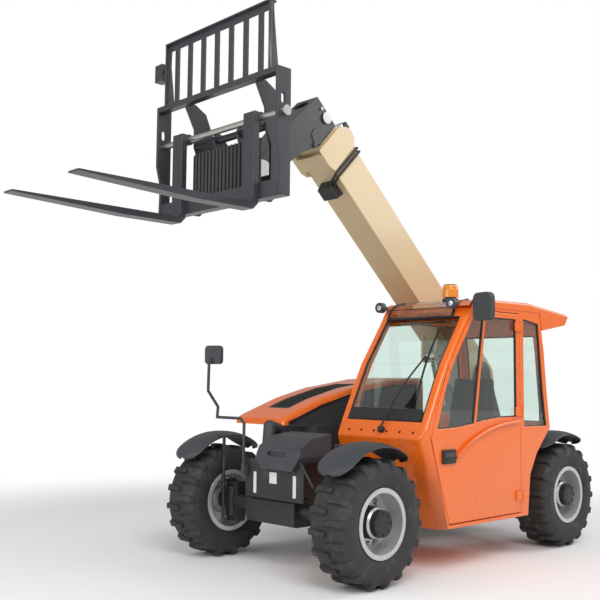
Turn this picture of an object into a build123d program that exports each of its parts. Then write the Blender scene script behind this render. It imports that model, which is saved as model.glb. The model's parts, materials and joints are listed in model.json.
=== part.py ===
from build123d import *
import os
from math import cos, hypot, pi, radians, sin

# A super-compact telescopic handler: cab on the left, engine on the right, boom between them,
# four steered wheels, and a fork carriage with a load backrest on the boom's nose.
# Sizes are in millimetres. Heights are from the ground. Along is from the middle of the
# wheelbase, positive forward; across is from the middle of the track, positive to the left.

os.makedirs("parts", exist_ok=True)

# ---- driving dimensions --------------------------------------------------------------------
origin_along = 649.0  # the bounding box's middle, ahead of mid-wheelbase
origin_across = 124.2  # the bounding box's middle, left of the track's middle
slide_gap = 0.3  # between faces that slide or turn on each other
move_gap = 6.0  # between pieces that swing past each other
plate = 16.0  # chassis plate
sheet = 30.0  # cab panel and door thickness

wheelbase = 2335.0
track = 1503.0
tyre_radius = 415.5
tyre_width = 307.0
rim_radius = 206.0  # bead seat
flange_radius = 228.0
rim_width = 284.0
rim_wall = 10.0
hub_radius = 105.0
spindle_radius = 45.0
kingpin_across = 600.0
kingpin_radius = 22.0
yoke_half_height = 118.0  # from the wheel's centre to the yoke plate's inner face
yoke_plate = 28.0
fender_radius = 508.0
fender_wall = 8.0

axle_half = 95.0  # axle housing, half its length along the machine
axle_tube_radius = 55.0
frame_across = -80.0  # middle of the boom and of the frame's two side plates
frame_half = 152.0  # to the outer face of a side plate
frame_bottom = 330.0
frame_over_axle = 490.0
front_plate_along = 1285.0
front_plate_half = 300.0
rear_plate_along = -1556.0

boom_pivot_along = -1170.0
boom_pivot_height = 1400.0
boom_angle = 42.0  # above level
boom_width = 260.0
boom_depth = 310.0
boom_wall = 10.0
boom_tail = -200.0  # along the boom, from the pivot
boom_nose = 2620.0
boom_pin_radius = 35.0
inner_gap = 8.0  # between the two boom tubes, bridged by the wear pads
inner_tail = 300.0
inner_nose = 2662.0
inner_wall = 8.0
pad_length = 60.0

lift_base_along = -1000.0
lift_base_height = 400.0
lift_lug_out = 500.0  # along the boom, from its pivot
lift_lug_drop = 255.0  # below the boom's middle line
lift_barrel_radius = 55.0
lift_rod_radius = 27.5
lift_eye_radius = 38.0
lift_eye_width = 60.0
lift_barrel_length = 755.0
lift_rod_length = 755.0

nose_width = 220.0
nose_wall = 20.0
hitch_pin_out = 2908.0  # along the boom, from its pivot
hitch_pin_drop = 761.0
hitch_pin_radius = 30.0
hitch_lug = 20.0

carriage_half = 660.0
carriage_plate = 20.0
carriage_back = 1722.0
carriage_front = 1842.0
carriage_low = 2510.0
carriage_high = 3335.0
inner_plate_half = 385.0
shaft_along = 1780.0
shaft_height = 3045.0
shaft_radius = 22.0
fork_half_spacing = 390.0
fork_width = 110.0
fork_thick = 45.0
fork_reach = 1275.0
fork_bottom = 2430.0
backrest_rise = 465.0
backrest_top = carriage_high + backrest_rise

cab_right = 100.0
cab_left = 900.0
cab_wall = 36.0
cab_floor = 311.0
waist = 930.0
cab_eaves = 1880.0
roof_rise = 68.0
roof_top = cab_eaves + roof_rise
glass = 6.0

tow_pin_radius = 16.0
hinge_along = -446.0  # the door's upright hinge line
hinge_across = 916.0
bay_inner = -250.0
hood_inner = -310.0
hood_outer = -880.0
bay_floor = 430.0
bay_back = -640.0
bay_front = 620.0
hood_front = 930.0
hood_back = -820.0
hood_hinge = (-850.0, 1010.0)
hinge_tube = 16.0

boom_slope = radians(boom_angle)
axle_along = wheelbase / 2
wheel_across = track / 2


def level(height=0.0):
    """A level plane at a height; its sketch reads (along, across)."""
    return Plane(origin=(-origin_along, -origin_across, height), x_dir=(1, 0, 0), z_dir=(0, 0, 1))


def side(across=0.0):
    """A plane along the machine; its sketch reads (along, height) and extrudes to the right."""
    return Plane(origin=(-origin_along, across - origin_across, 0), x_dir=(1, 0, 0), z_dir=(0, -1, 0))


def front(along=0.0):
    """A plane across the machine; its sketch reads (across, height) and extrudes forward."""
    return Plane(origin=(along - origin_along, -origin_across, 0), x_dir=(0, 1, 0), z_dir=(1, 0, 0))


def boom_side(across=0.0):
    """A plane along the boom at its pivot; its sketch reads (out, up) in the boom's own lean."""
    return Plane(
        origin=(boom_pivot_along - origin_along, across - origin_across, boom_pivot_height),
        x_dir=(cos(boom_slope), 0, sin(boom_slope)),
        z_dir=(0, -1, 0),
    )


def boom_end(out=0.0):
    """A plane square to the boom; its sketch reads (across, up) and extrudes outwards."""
    at = boom_side(frame_across).from_local_coords((out, 0, 0))
    return Plane(origin=at, x_dir=(0, 1, 0), z_dir=(cos(boom_slope), 0, sin(boom_slope)))


def boom_point(out, up):
    """Along and height of a point given in the boom's own lean."""
    return (
        boom_pivot_along + out * cos(boom_slope) - up * sin(boom_slope),
        boom_pivot_height + out * sin(boom_slope) + up * cos(boom_slope),
    )


def wheel_axis(along):
    """The line across the machine through a wheel's centre."""
    return Axis((along - origin_along, -origin_across, tyre_radius), (0, 1, 0))


def block(plane, low, high, depth):
    """A box on a plane, from a low to a high corner, with its depth shared to both sides."""
    with BuildSketch(plane) as face:
        with Locations(((low[0] + high[0]) / 2, (low[1] + high[1]) / 2)):
            Rectangle(high[0] - low[0], high[1] - low[1])
    extrude(face.sketch, amount=depth / 2, both=True)


def rod(plane, centre, radius, half_length, mode=Mode.ADD):
    """A round bar square to a plane, with its length shared to both sides."""
    with BuildSketch(plane) as face:
        with Locations(centre):
            Circle(radius)
    extrude(face.sketch, amount=half_length, both=True, mode=mode)


# ---- wheels, knuckles, mudguards and axles ---------------------------------------------------
# columns: name, which end of the machine (+1 front), which side (+1 left)
corners = [
    ("front_left", 1, 1),
    ("front_right", 1, -1),
    ("rear_left", -1, 1),
    ("rear_right", -1, -1),
]
half_tyre = tyre_width / 2
half_rim = rim_width / 2
flange_step = 10.0
tread_depth = 26.0
tread_radius = tyre_radius - tread_depth
lug_count = 18  # on each side of the tread
tyre_sides = 2 * lug_count  # flat faces round the carcass, and each lug stands on one
bore_sides = lug_count
# columns: how far a shoulder's bevel comes in from the sidewall, how far it falls
shoulder_bevels = [(28.0, 36.0), (13.0, 25.0)]
bead_radius = flange_radius + 6  # where the sidewall leaves the rim's flange
sidewall_hollow = 74.0  # width of the slope between the bead and the sidewall's bulge
lug_root = tyre_radius - 2 * tread_depth
lug_half = 33.0
lug_outer = half_tyre - 12.5
# a lug's outline, columns: left of the wheel's middle, along the tread
lug_outline = [(lug_outer, -lug_half), (-6, -20), (-6, 8), (lug_outer, 24)]
lug_top = (tyre_radius**2 - lug_half**2) ** 0.5  # so that its corners reach the tyre's radius
hand_holes = 6
hand_hole_ring = 152.0
disc_inner = -10.0  # the wheel disc's inboard face
disc_outer = 8.0
hub_nose = 105.0
hub_root = -40.0
spindle_end = 22.0

fender_inner = kingpin_across
fender_outer = 905.0
# columns: end of the machine, the mudguard's first and last angle above forward
fender_span = {1: (41.0, 130.0), -1: (52.0, 125.0)}
bar_out = 108.0  # mudguard bar, ahead of the kingpin
bar_in = 19.0  # and inboard of it
bar_radius = 12.0
arm_plate = 14.0

for name, end, hand in corners:
    along = end * axle_along
    middle = hand * wheel_across
    section = front(along)

    with BuildPart() as tyre:
        with BuildSketch(side(middle)):
            with Locations((along, tyre_radius)):
                RegularPolygon(tread_radius, tyre_sides)
        extrude(amount=half_tyre, both=True)
        for outermost in (0, -1):
            for bevel_in, bevel_fall in shoulder_bevels:
                wall = tyre.faces().sort_by(Axis.Y)[outermost]
                chamfer(wall.edges(), bevel_fall, bevel_in, reference=wall)
        for turn in (1, -1):
            pitch = 2 * pi / lug_count
            offset_turn = pitch / 4 * turn
            roots = [
                Plane(
                    origin=(
                        along - origin_along + lug_root * cos(step * pitch + offset_turn),
                        middle - origin_across,
                        tyre_radius + lug_root * sin(step * pitch + offset_turn),
                    ),
                    x_dir=(0, 1, 0),
                    z_dir=(cos(step * pitch + offset_turn), 0, sin(step * pitch + offset_turn)),
                )
                for step in range(lug_count)
            ]
            with BuildSketch(*roots):
                Polygon(*[(turn * a, t) for a, t in lug_outline])
            extrude(amount=lug_top - lug_root)
        # the bore on the bead seat, and the hollow of each sidewall round the rim's flange
        bore_half = half_rim - flange_step - slide_gap
        with BuildSketch(side(middle)):
            with Locations((along, tyre_radius)):
                RegularPolygon(rim_radius + slide_gap, bore_sides, major_radius=False)
        extrude(amount=half_tyre + 1, both=True, mode=Mode.SUBTRACT)
        for turn, outermost in ((-1, 0), (1, -1)):
            with BuildSketch(side(middle + turn * (bore_half + half_tyre) / 2)):
                with Locations((along, tyre_radius)):
                    RegularPolygon(bead_radius, bore_sides, major_radius=False)
            extrude(amount=(half_tyre - bore_half) / 2, both=True, mode=Mode.SUBTRACT)
            wall = tyre.faces().filter_by(Axis.Y).sort_by(Axis.Y)[outermost]
            rim_edges = wall.inner_wires()[0].edges()
            chamfer(rim_edges, sidewall_hollow, half_tyre - bore_half - 1, reference=wall)
    tyre.part.label = f"tyre_{name}"
    export_step(tyre.part, f"parts/tyre_{name}.step")

    with BuildPart() as rim:
        with BuildSketch(section):
            # columns: outboard of the wheel's middle, radius
            barrel = [
                (-half_rim, flange_radius),
                (-half_rim, rim_radius - rim_wall),
                (disc_inner, rim_radius - rim_wall),
                (disc_inner, hub_radius),
                (hub_root, hub_radius - 15),
                (hub_root, spindle_radius + slide_gap),
                (spindle_end + slide_gap, spindle_radius + slide_gap),
                (spindle_end + slide_gap, 0),
                (hub_nose, 0),
                (hub_nose, hub_radius - 20),
                (hub_nose - 20, hub_radius),
                (disc_outer, hub_radius),
                (disc_outer, rim_radius - rim_wall),
                (half_rim, rim_radius - rim_wall),
                (half_rim, flange_radius),
                (half_rim - flange_step, flange_radius),
                (half_rim - flange_step, rim_radius),
                (-half_rim + flange_step, rim_radius),
                (-half_rim + flange_step, flange_radius),
            ]
            Polygon(*[(middle + hand * o, tyre_radius + r) for o, r in barrel])
        revolve(axis=wheel_axis(along))
        with BuildSketch(side(middle)):
            with Locations((along, tyre_radius)):
                with PolarLocations(hand_hole_ring, hand_holes):
                    SlotOverall(66, 36, rotation=90)
        extrude(amount=hub_nose, both=True, mode=Mode.SUBTRACT)
    rim.part.label = f"rim_{name}"
    export_step(rim.part, f"parts/rim_{name}.step")

    with BuildPart() as knuckle:
        kingpin = (along, hand * kingpin_across)
        rod(level(tyre_radius), kingpin, 55, yoke_half_height - move_gap)
        rod(level(tyre_radius), kingpin, kingpin_radius, yoke_half_height + yoke_plate + move_gap)
        spindle_far = wheel_across + spindle_end
        for radius, far in ((60, wheel_across + hub_root - 10), (spindle_radius, spindle_far)):
            with BuildSketch(side(hand * kingpin_across)):
                with Locations((along, tyre_radius)):
                    Circle(radius)
            extrude(amount=-hand * (far - kingpin_across))
        # the arm on the kingpin's top, and the bar that carries the mudguard
        arm_low = tyre_radius + yoke_half_height + yoke_plate + move_gap
        bar = (along + bar_out, hand * (kingpin_across - bar_in))
        bar_top = tyre_radius + (fender_radius**2 - (bar_out + bar_radius) ** 2) ** 0.5 - slide_gap
        with BuildSketch(level(arm_low)):
            for spot, radius in ((kingpin, 30), (bar, bar_radius + 6)):
                with Locations(spot):
                    Circle(radius)
            make_hull()
        extrude(amount=arm_plate)
        with BuildSketch(level(tyre_radius - yoke_half_height)):
            with Locations(bar):
                Circle(bar_radius)
        extrude(amount=bar_top - tyre_radius + yoke_half_height)
        tongue_low = (bar[0] - bar_radius, min(bar[1], bar[1] + hand * 110))
        tongue_high = (bar[0] + bar_radius, max(bar[1], bar[1] + hand * 110))
        block(level(bar_top - 5), tongue_low, tongue_high, 10)
    knuckle.part.label = f"knuckle_{name}"
    export_step(knuckle.part, f"parts/knuckle_{name}.step")

    with BuildPart() as fender:
        first, last = fender_span[end]
        hub = (along, tyre_radius)
        with BuildSketch(side(hand * (fender_inner + fender_outer) / 2)):
            with BuildLine():
                outer = CenterArc(hub, fender_radius + fender_wall, first, last - first)
                inner = CenterArc(hub, fender_radius, first, last - first)
                Line(outer @ 0, inner @ 0)
                Line(outer @ 1, inner @ 1)
            make_face()
        extrude(amount=(fender_outer - fender_inner) / 2, both=True)
        ends = fender.edges().filter_by(lambda e: abs(e.length - fender_wall) < 0.01)
        outboard = ends.group_by(Axis.Y)[-1 if hand > 0 else 0]
        fillet(outboard, 60)
    fender.part.label = f"fender_{name}"
    export_step(fender.part, f"parts/fender_{name}.step")

housing_right = -330.0
housing_left = 170.0
for name, end in (("front_axle", 1), ("rear_axle", -1)):
    along = end * axle_along
    with BuildPart() as axle:
        with BuildSketch(side((housing_right + housing_left) / 2)):
            with Locations((along, (frame_over_axle - slide_gap + 307) / 2)):
                RectangleRounded(2 * axle_half, frame_over_axle - slide_gap - 307, 25)
        extrude(amount=(housing_left - housing_right) / 2, both=True)
        rod(side(0), (along, tyre_radius), axle_tube_radius, kingpin_across - 62)
        yoke_far = yoke_half_height + yoke_plate
        for hand in (1, -1):
            spot = (along, hand * kingpin_across)
            for up in (yoke_half_height, -yoke_far):
                with BuildSketch(level(tyre_radius + up)):
                    with Locations(spot):
                        Circle(48)
                    inboard = (along, hand * (kingpin_across - 75))
                    with Locations(inboard):
                        Rectangle(84, 50)
                    make_hull()
                extrude(amount=yoke_plate)
            web_low = min(hand * (kingpin_across - 100), hand * (kingpin_across - 66))
            web_high = max(hand * (kingpin_across - 100), hand * (kingpin_across - 66))
            block(level(tyre_radius), (along - 42, web_low), (along + 42, web_high), 2 * yoke_far)
            rod(level(tyre_radius), spot, kingpin_radius + slide_gap, yoke_far + 5, Mode.SUBTRACT)
    axle.part.label = name
    export_step(axle.part, f"parts/{name}.step")

# ---- main frame ------------------------------------------------------------------------------
tower_boss = 110.0
front_drop = front_plate_along - 255
rear_rise = -axle_along + axle_half + 40
# the side plate's outline, columns: along, height
side_plate = [
    (front_plate_along, frame_over_axle),
    (front_plate_along, 760),
    (front_plate_along - 280, 760),
    (700, 690),
    (-300, 690),
    (-760, 860),
    (boom_pivot_along + tower_boss, boom_pivot_height),
    (boom_pivot_along - tower_boss, boom_pivot_height),
    (rear_plate_along + 60, 900),
    (rear_plate_along, 760),
    (rear_plate_along, frame_over_axle),
    (rear_rise, frame_over_axle),
    (rear_rise + 35, frame_bottom),
    (front_drop - 35, frame_bottom),
    (front_drop, frame_over_axle),
]
boom_pivot = (boom_pivot_along, boom_pivot_height)
lift_base = (lift_base_along, lift_base_height)
inner_face = frame_half - plate
lift_pin_radius = 28.0
cab_pads = (-400.0, 300.0)  # where the pads stand along the machine
# columns: name, which side, what the pads reach, their low and high edge
for name, hand, pad_reach, pad_low, pad_high in (
    ("side_plate_left", 1, cab_right, 420, 560),
    ("side_plate_right", -1, bay_inner, 440, 600),
):
    with BuildPart() as side_wall:
        with BuildSketch(side(frame_across + hand * (frame_half - plate / 2))):
            Polygon(*side_plate)
            with Locations(boom_pivot):
                Circle(tower_boss)
            with Locations(lift_base):
                Circle(lift_pin_radius + 30)
        extrude(amount=plate / 2, both=True)
        outer_face = frame_across + hand * frame_half
        for along in cab_pads:
            low, high = sorted((outer_face, pad_reach))
            block(front(along), (low, pad_low), (high, pad_high), 90)
        for spot, radius in ((boom_pivot, boom_pin_radius), (lift_base, lift_pin_radius)):
            rod(side(frame_across), spot, radius + slide_gap, frame_half + 5, Mode.SUBTRACT)
    side_wall.part.label = name
    export_step(side_wall.part, f"parts/{name}.step")

deck = 12.0
tube_reach = inner_face - slide_gap
with BuildPart() as frame:
    # floor plate, cross tubes, pins and end plates
    block(
        side(frame_across),
        (lift_base_along + 160, frame_bottom),
        (front_drop - 60, frame_bottom + deck),
        2 * tube_reach,
    )
    for spot, radius, reach in (
        ((-560, 560), 40, tube_reach),
        ((100, 600), 40, tube_reach),
        ((800, 600), 40, tube_reach),
        ((-1380, 640), 45, tube_reach),
        (lift_base, lift_pin_radius, frame_half + 8),
        (boom_pivot, boom_pin_radius, frame_half + 10),
    ):
        rod(side(frame_across), spot, radius, reach)
    block(
        front(front_plate_along + plate / 2),
        (-front_plate_half, frame_over_axle),
        (front_plate_half, 760),
        plate,
    )
    for back, ahead in (
        (axle_along - axle_half, front_plate_along),
        (-axle_along - axle_half, -axle_along + axle_half),
    ):
        block(side(frame_across), (back, frame_over_axle), (ahead, frame_over_axle + deck), 2 * tube_reach)
frame.part.label = "frame"
export_step(frame.part, "parts/frame.step")

# ---- counterweight with the towing jaw -------------------------------------------------------
weight_half = 400.0
weight_back = rear_plate_along - plate / 2 - 150
jaw_low = 486.0
jaw_plate = 22.0
jaw_opening = 50.0
jaw_reach = 110.0
with BuildPart() as counterweight:
    with BuildSketch(level((470 + 850) / 2)):
        with Locations(((rear_plate_along - plate / 2 + weight_back) / 2, 0)):
            Rectangle(rear_plate_along - plate / 2 - weight_back, 2 * weight_half)
    extrude(amount=190, both=True)
    uprights = counterweight.edges().filter_by(Axis.Z).group_by(Axis.X)[0]
    fillet(uprights, 70)
    for low in (jaw_low, jaw_low + jaw_plate + jaw_opening):
        with BuildSketch(level(low)):
            for spot, radius in (((weight_back - jaw_reach + 45, frame_across), 45),
                                 ((weight_back + 30, frame_across), 60)):
                with Locations(spot):
                    Circle(radius)
            make_hull()
        extrude(amount=jaw_plate)
    tow_pin = (weight_back - jaw_reach + 45, frame_across)
    rod(level(jaw_low + jaw_plate), tow_pin, tow_pin_radius, 120, Mode.SUBTRACT)
counterweight.part.label = "counterweight"
export_step(counterweight.part, "parts/counterweight.step")

# ---- cab ---------------------------------------------------------------------------------------
# the cab's front face from the sill to the eaves, columns: along, height
cab_front = [
    (560, cab_floor),
    (752, waist),
    (705, waist + 116),
    (572, cab_eaves - 569),
    (496, cab_eaves - 426),
    (392, cab_eaves - 279),
    (274, cab_eaves - 112),
    (205, cab_eaves),
]
# the cab's rear face from the eaves down round the wheel arch, columns: along, height
cab_rear = [
    (-740, cab_eaves),
    (-799, cab_eaves - 302),
    (-837, cab_eaves - 628),
    (-880, waist + 35),
    (-798, waist - 38),
    (-675, waist - 158),
    (-580, cab_floor + 308),
    (-542, cab_floor),
]
nose_corner = 72.0  # round of the cab's front left corner below the waist
pillar_corner = 30.0  # and above it
door_gap = 6.0
door_low = cab_floor + 31
door_high = cab_eaves - 28
door_back = -436.0
door_front = [
    (468, door_low),
    (668, waist),
    (634, waist + 116),
    (524, cab_eaves - 569),
    (452, cab_eaves - 426),
    (354, cab_eaves - 279),
    (228, cab_eaves - 112),
    (180, door_high),
]
door_outline = door_front + [(door_back, door_high), (door_back, door_low)]
cab_middle = (cab_left + cab_right) / 2
cab_half = (cab_left - cab_right) / 2


def face_at(height, outline):
    """Where an outline lies along the machine at a height."""
    for (a, low), (b, high) in zip(outline, outline[1:]):
        if min(low, high) <= height <= max(low, high):
            return a + (b - a) * (height - low) / (high - low)
    raise ValueError("height is off the outline")


def band(outline, low, high, out, back):
    """The part of an outline between two heights, from one step in front to one step behind."""
    inner = sorted([(a, h) for a, h in outline if low < h < high], key=lambda spot: spot[1])
    line = [(face_at(low, outline), low), *inner, (face_at(high, outline), high)]
    return [(a + out, h) for a, h in line] + [(a - back, h) for a, h in reversed(line)]


screen_low = waist + 116
screen_high = cab_eaves - 80
screen_right = cab_right + 55
screen_left = cab_left - 62
# the window in the cab's right wall, columns: along, height
right_window = [
    (575, waist + 140),
    (505, cab_eaves - 620),
    (405, cab_eaves - 430),
    (262, cab_eaves - 220),
    (170, cab_eaves - 90),
    (-690, cab_eaves - 90),
    (-770, waist + 140),
]
quarter_window = [
    (-500, waist + 55),
    (-830, waist + 55),
    (-785, cab_eaves - 628),
    (-748, cab_eaves - 304),
    (-722, cab_eaves - 90),
    (-500, cab_eaves - 60),
]
rear_low = waist + 80
rear_high = cab_eaves - 180
rear_right = cab_right + 70
rear_left = cab_left - 70
# the glazed brow over the windscreen, columns: along, height
brow_right = cab_right + 70
brow_left = cab_left - 125
brow = [(262, screen_high + 4), (232, cab_eaves - 2), (150, roof_top - 26), (62, roof_top - 8)]
brow_cut = [(62, screen_high + 1), (62, roof_top + 20), (320, roof_top + 20), (320, screen_high + 1)]

with BuildPart() as cab_shell:
    with BuildSketch(side(cab_middle)):
        Polygon(*cab_front, *cab_rear)
    extrude(amount=cab_half, both=True)
    # the two corners at the front on the left, the nose's and the pillar's
    for low, high, corner in ((cab_floor, waist, nose_corner), (waist + 116, cab_eaves, pillar_corner)):
        on_left = cab_shell.edges().group_by(Axis.Y)[-1]
        edges = on_left.filter_by(lambda e: e.center().X > 100 - origin_along)
        fillet(edges.filter_by(lambda e: low < e.center().Z < high), corner)
    with BuildSketch(side(cab_middle)):
        Polygon(*cab_front, *cab_rear)
        offset(amount=-cab_wall, kind=Kind.INTERSECTION)
    extrude(amount=cab_half - cab_wall, both=True, mode=Mode.SUBTRACT)
    # doorway
    with BuildSketch(side(cab_left - cab_wall / 2)):
        Polygon(*door_outline)
        offset(amount=door_gap, kind=Kind.INTERSECTION)
    extrude(amount=cab_wall, both=True, mode=Mode.SUBTRACT)
    # windscreen, side window, quarter window and rear window
    with BuildSketch(side((screen_right + screen_left) / 2)):
        Polygon(*band(cab_front, screen_low, screen_high, 60, 90))
    extrude(amount=(screen_left - screen_right) / 2, both=True, mode=Mode.SUBTRACT)
    with BuildSketch(side(cab_right + cab_wall / 2)):
        Polygon(*right_window)
    extrude(amount=cab_wall, both=True, mode=Mode.SUBTRACT)
    with BuildSketch(side(cab_left - cab_wall / 2)):
        Polygon(*quarter_window)
    extrude(amount=cab_wall, both=True, mode=Mode.SUBTRACT)
    with BuildSketch(side((rear_right + rear_left) / 2)):
        Polygon(*band(cab_rear, rear_low, rear_high, 90, 60))
    extrude(amount=(rear_left - rear_right) / 2, both=True, mode=Mode.SUBTRACT)
    with BuildSketch(side((brow_right + brow_left) / 2)):
        Polygon(*brow_cut)
    extrude(amount=(brow_left - brow_right) / 2, both=True, mode=Mode.SUBTRACT)
cab_shell.part.label = "cab_shell"
export_step(cab_shell.part, "parts/cab_shell.step")

roof_overhang = 8.0
with BuildPart() as cab_roof:
    with BuildSketch(side(cab_middle)):
        Polygon(
            (cab_front[-1][0] + 30, cab_eaves),
            (150, roof_top - 22),
            (-143, roof_top - 6),
            (-572, roof_top),
            (-1137, cab_eaves + 12),
            (-1169, cab_eaves - 12),
            (-1118, cab_eaves - 82),
            (face_at(cab_eaves - 140, cab_rear) - slide_gap, cab_eaves - 140),
            (cab_rear[0][0] - slide_gap, cab_eaves),
        )
    extrude(amount=cab_half + roof_overhang, both=True)
    lengthwise = cab_roof.edges().filter_by(lambda e: abs((e % 0.5).Y) < 0.1)
    fillet(lengthwise.filter_by(lambda e: e.center().Z > roof_top - 40), 22)
    with BuildSketch(side((brow_right + brow_left) / 2)):
        Polygon(*brow_cut)
    extrude(amount=(brow_left - brow_right) / 2, both=True, mode=Mode.SUBTRACT)
cab_roof.part.label = "cab_roof"
export_step(cab_roof.part, "parts/cab_roof.step")

with BuildPart() as cab_glass:
    fit = slide_gap
    with BuildSketch(side((screen_right + screen_left) / 2)):
        Polygon(*band(cab_front, screen_low + fit, screen_high - fit, -8, 8 + glass))
    extrude(amount=(screen_left - screen_right) / 2 - fit, both=True)
    with BuildSketch(side(cab_right + cab_wall / 2)):
        Polygon(*right_window)
        offset(amount=-fit, kind=Kind.INTERSECTION)
    extrude(amount=glass / 2, both=True)
    with BuildSketch(side(cab_left - cab_wall / 2)):
        Polygon(*quarter_window)
        offset(amount=-fit, kind=Kind.INTERSECTION)
    extrude(amount=glass / 2, both=True)
    with BuildSketch(side((rear_right + rear_left) / 2)):
        Polygon(*band(cab_rear, rear_low + fit, rear_high - fit, 8 + glass, -8))
    extrude(amount=(rear_left - rear_right) / 2 - fit, both=True)
    with BuildSketch(side((brow_right + brow_left) / 2)):
        Polygon(*[(a, h) for a, h in brow], *[(a - glass, h - glass) for a, h in reversed(brow)])
    extrude(amount=(brow_left - brow_right) / 2 - fit, both=True)
cab_glass.part.label = "cab_glass"
export_step(cab_glass.part, "parts/cab_glass.step")

# the door, its window and its bar
window_rim = 42.0
# the door's window, columns: along, height
door_window = [
    (600, waist + 70),
    (500, cab_eaves - 600),
    (425, cab_eaves - 450),
    (330, cab_eaves - 310),
    (215, cab_eaves - 155),
    (160, door_high - window_rim),
    (door_back + window_rim, door_high - window_rim),
    (door_back + window_rim, waist + 136),
    (-131, waist + 134),
    (66, waist + 116),
    (156, waist + 100),
    (374, waist + 76),
]
with BuildPart() as door:
    with BuildSketch(side(cab_left - sheet / 2)):
        Polygon(*door_outline)
        Polygon(*door_window, mode=Mode.SUBTRACT)
    extrude(amount=sheet / 2, both=True)
    # hinge knuckles on the rear edge
    for height in (cab_eaves - 124, waist + 179, door_low + 128):
        rod(level(height), (hinge_along, hinge_across), 12, 35)
        block(side(cab_left + 8), (door_back - 4, height - 35), (door_back + 70, height + 35), 16)
    # upright bar between the two panes
    with BuildSketch(side(cab_left - sheet / 2)):
        pane_top = door_high - window_rim
        Polygon((8, pane_top), (34, pane_top), (170, waist + 98), (140, waist + 102))
    extrude(amount=sheet / 2, both=True)
door.part.label = "door"
export_step(door.part, "parts/door.step")

with BuildPart() as door_glass:
    with BuildSketch(side(cab_left - sheet / 2)):
        Polygon(*door_window)
        offset(amount=-slide_gap, kind=Kind.INTERSECTION)
    extrude(amount=glass / 2, both=True)
    add(door.part, mode=Mode.SUBTRACT)
door_glass.part.label = "door_glass"
export_step(door_glass.part, "parts/door_glass.step")

def face_at_along(along, outline):
    """How high an outline lies at a place along the machine."""
    for (low, a), (high, b) in zip(outline, outline[1:]):
        if min(low, high) <= along <= max(low, high) and low != high:
            return a + (b - a) * (along - low) / (high - low)
    raise ValueError("place is off the outline")


# seat on its box, a console on the right, the steering column
seat_across = cab_middle
seat_low = 780.0
inner_floor = cab_floor + cab_wall
with BuildPart() as seat:
    with BuildSketch(level(seat_low)):
        with Locations((-130, seat_across)):
            RectangleRounded(470, 470, 60)
    extrude(amount=120)
    with BuildSketch(side(seat_across)):
        Polygon((-360, seat_low + 125), (-250, seat_low + 125), (-330, 1420), (-430, 1420))
    extrude(amount=230, both=True)
seat.part.label = "seat"
export_step(seat.part, "parts/seat.step")

console_top = 820.0
with BuildPart() as seat_box:
    block(
        level((inner_floor + seat_low) / 2),
        (-360, seat_across - 180),
        (60, seat_across + 180),
        seat_low - inner_floor,
    )
    # the bracket that holds the seat's back
    with BuildSketch(side(seat_across)):
        Polygon((-400, seat_low - 60), (-360, seat_low - 60), (-366, 905), (-445, 1300), (-475, 1300))
    extrude(amount=60, both=True)
    block(
        level((inner_floor + console_top) / 2),
        (-330, cab_right + cab_wall),
        (330, seat_across - 250),
        console_top - inner_floor,
    )
    # steering column, from the floor up to under the wheel
    with BuildSketch(side(seat_across)):
        Polygon((360, inner_floor), (470, inner_floor), (385, 985), (325, 985))
    extrude(amount=45, both=True)
    add(seat.part, mode=Mode.SUBTRACT)
seat_box.part.label = "seat_box"
export_step(seat_box.part, "parts/seat_box.step")

wheel_tilt = 26.0
column = Plane(
    origin=(345 - origin_along, seat_across - origin_across, 1045),
    x_dir=(0, 1, 0),
    z_dir=(-sin(radians(wheel_tilt)), 0, cos(radians(wheel_tilt))),
)
with BuildPart() as steering_wheel:
    with BuildSketch(column.offset(-13)):
        Circle(182)
        Circle(152, mode=Mode.SUBTRACT)
        for turn in (0, 90, 180):
            with Locations(Pos(0, 0) * Rot(0, 0, turn)):
                with Locations((82, 0)):
                    Rectangle(164, 26)
        Circle(36)
    extrude(amount=26)
    with BuildSketch(column.offset(-45)):
        Circle(24)
    extrude(amount=32)
steering_wheel.part.label = "steering_wheel"
export_step(steering_wheel.part, "parts/steering_wheel.step")

# ---- engine bay, engine and hood ---------------------------------------------------------------
hood_wall = 20.0
bay_top = 975.0
bay_wall = 10.0
bay_outer = -870.0
hood_low = bay_top + move_gap
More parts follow.
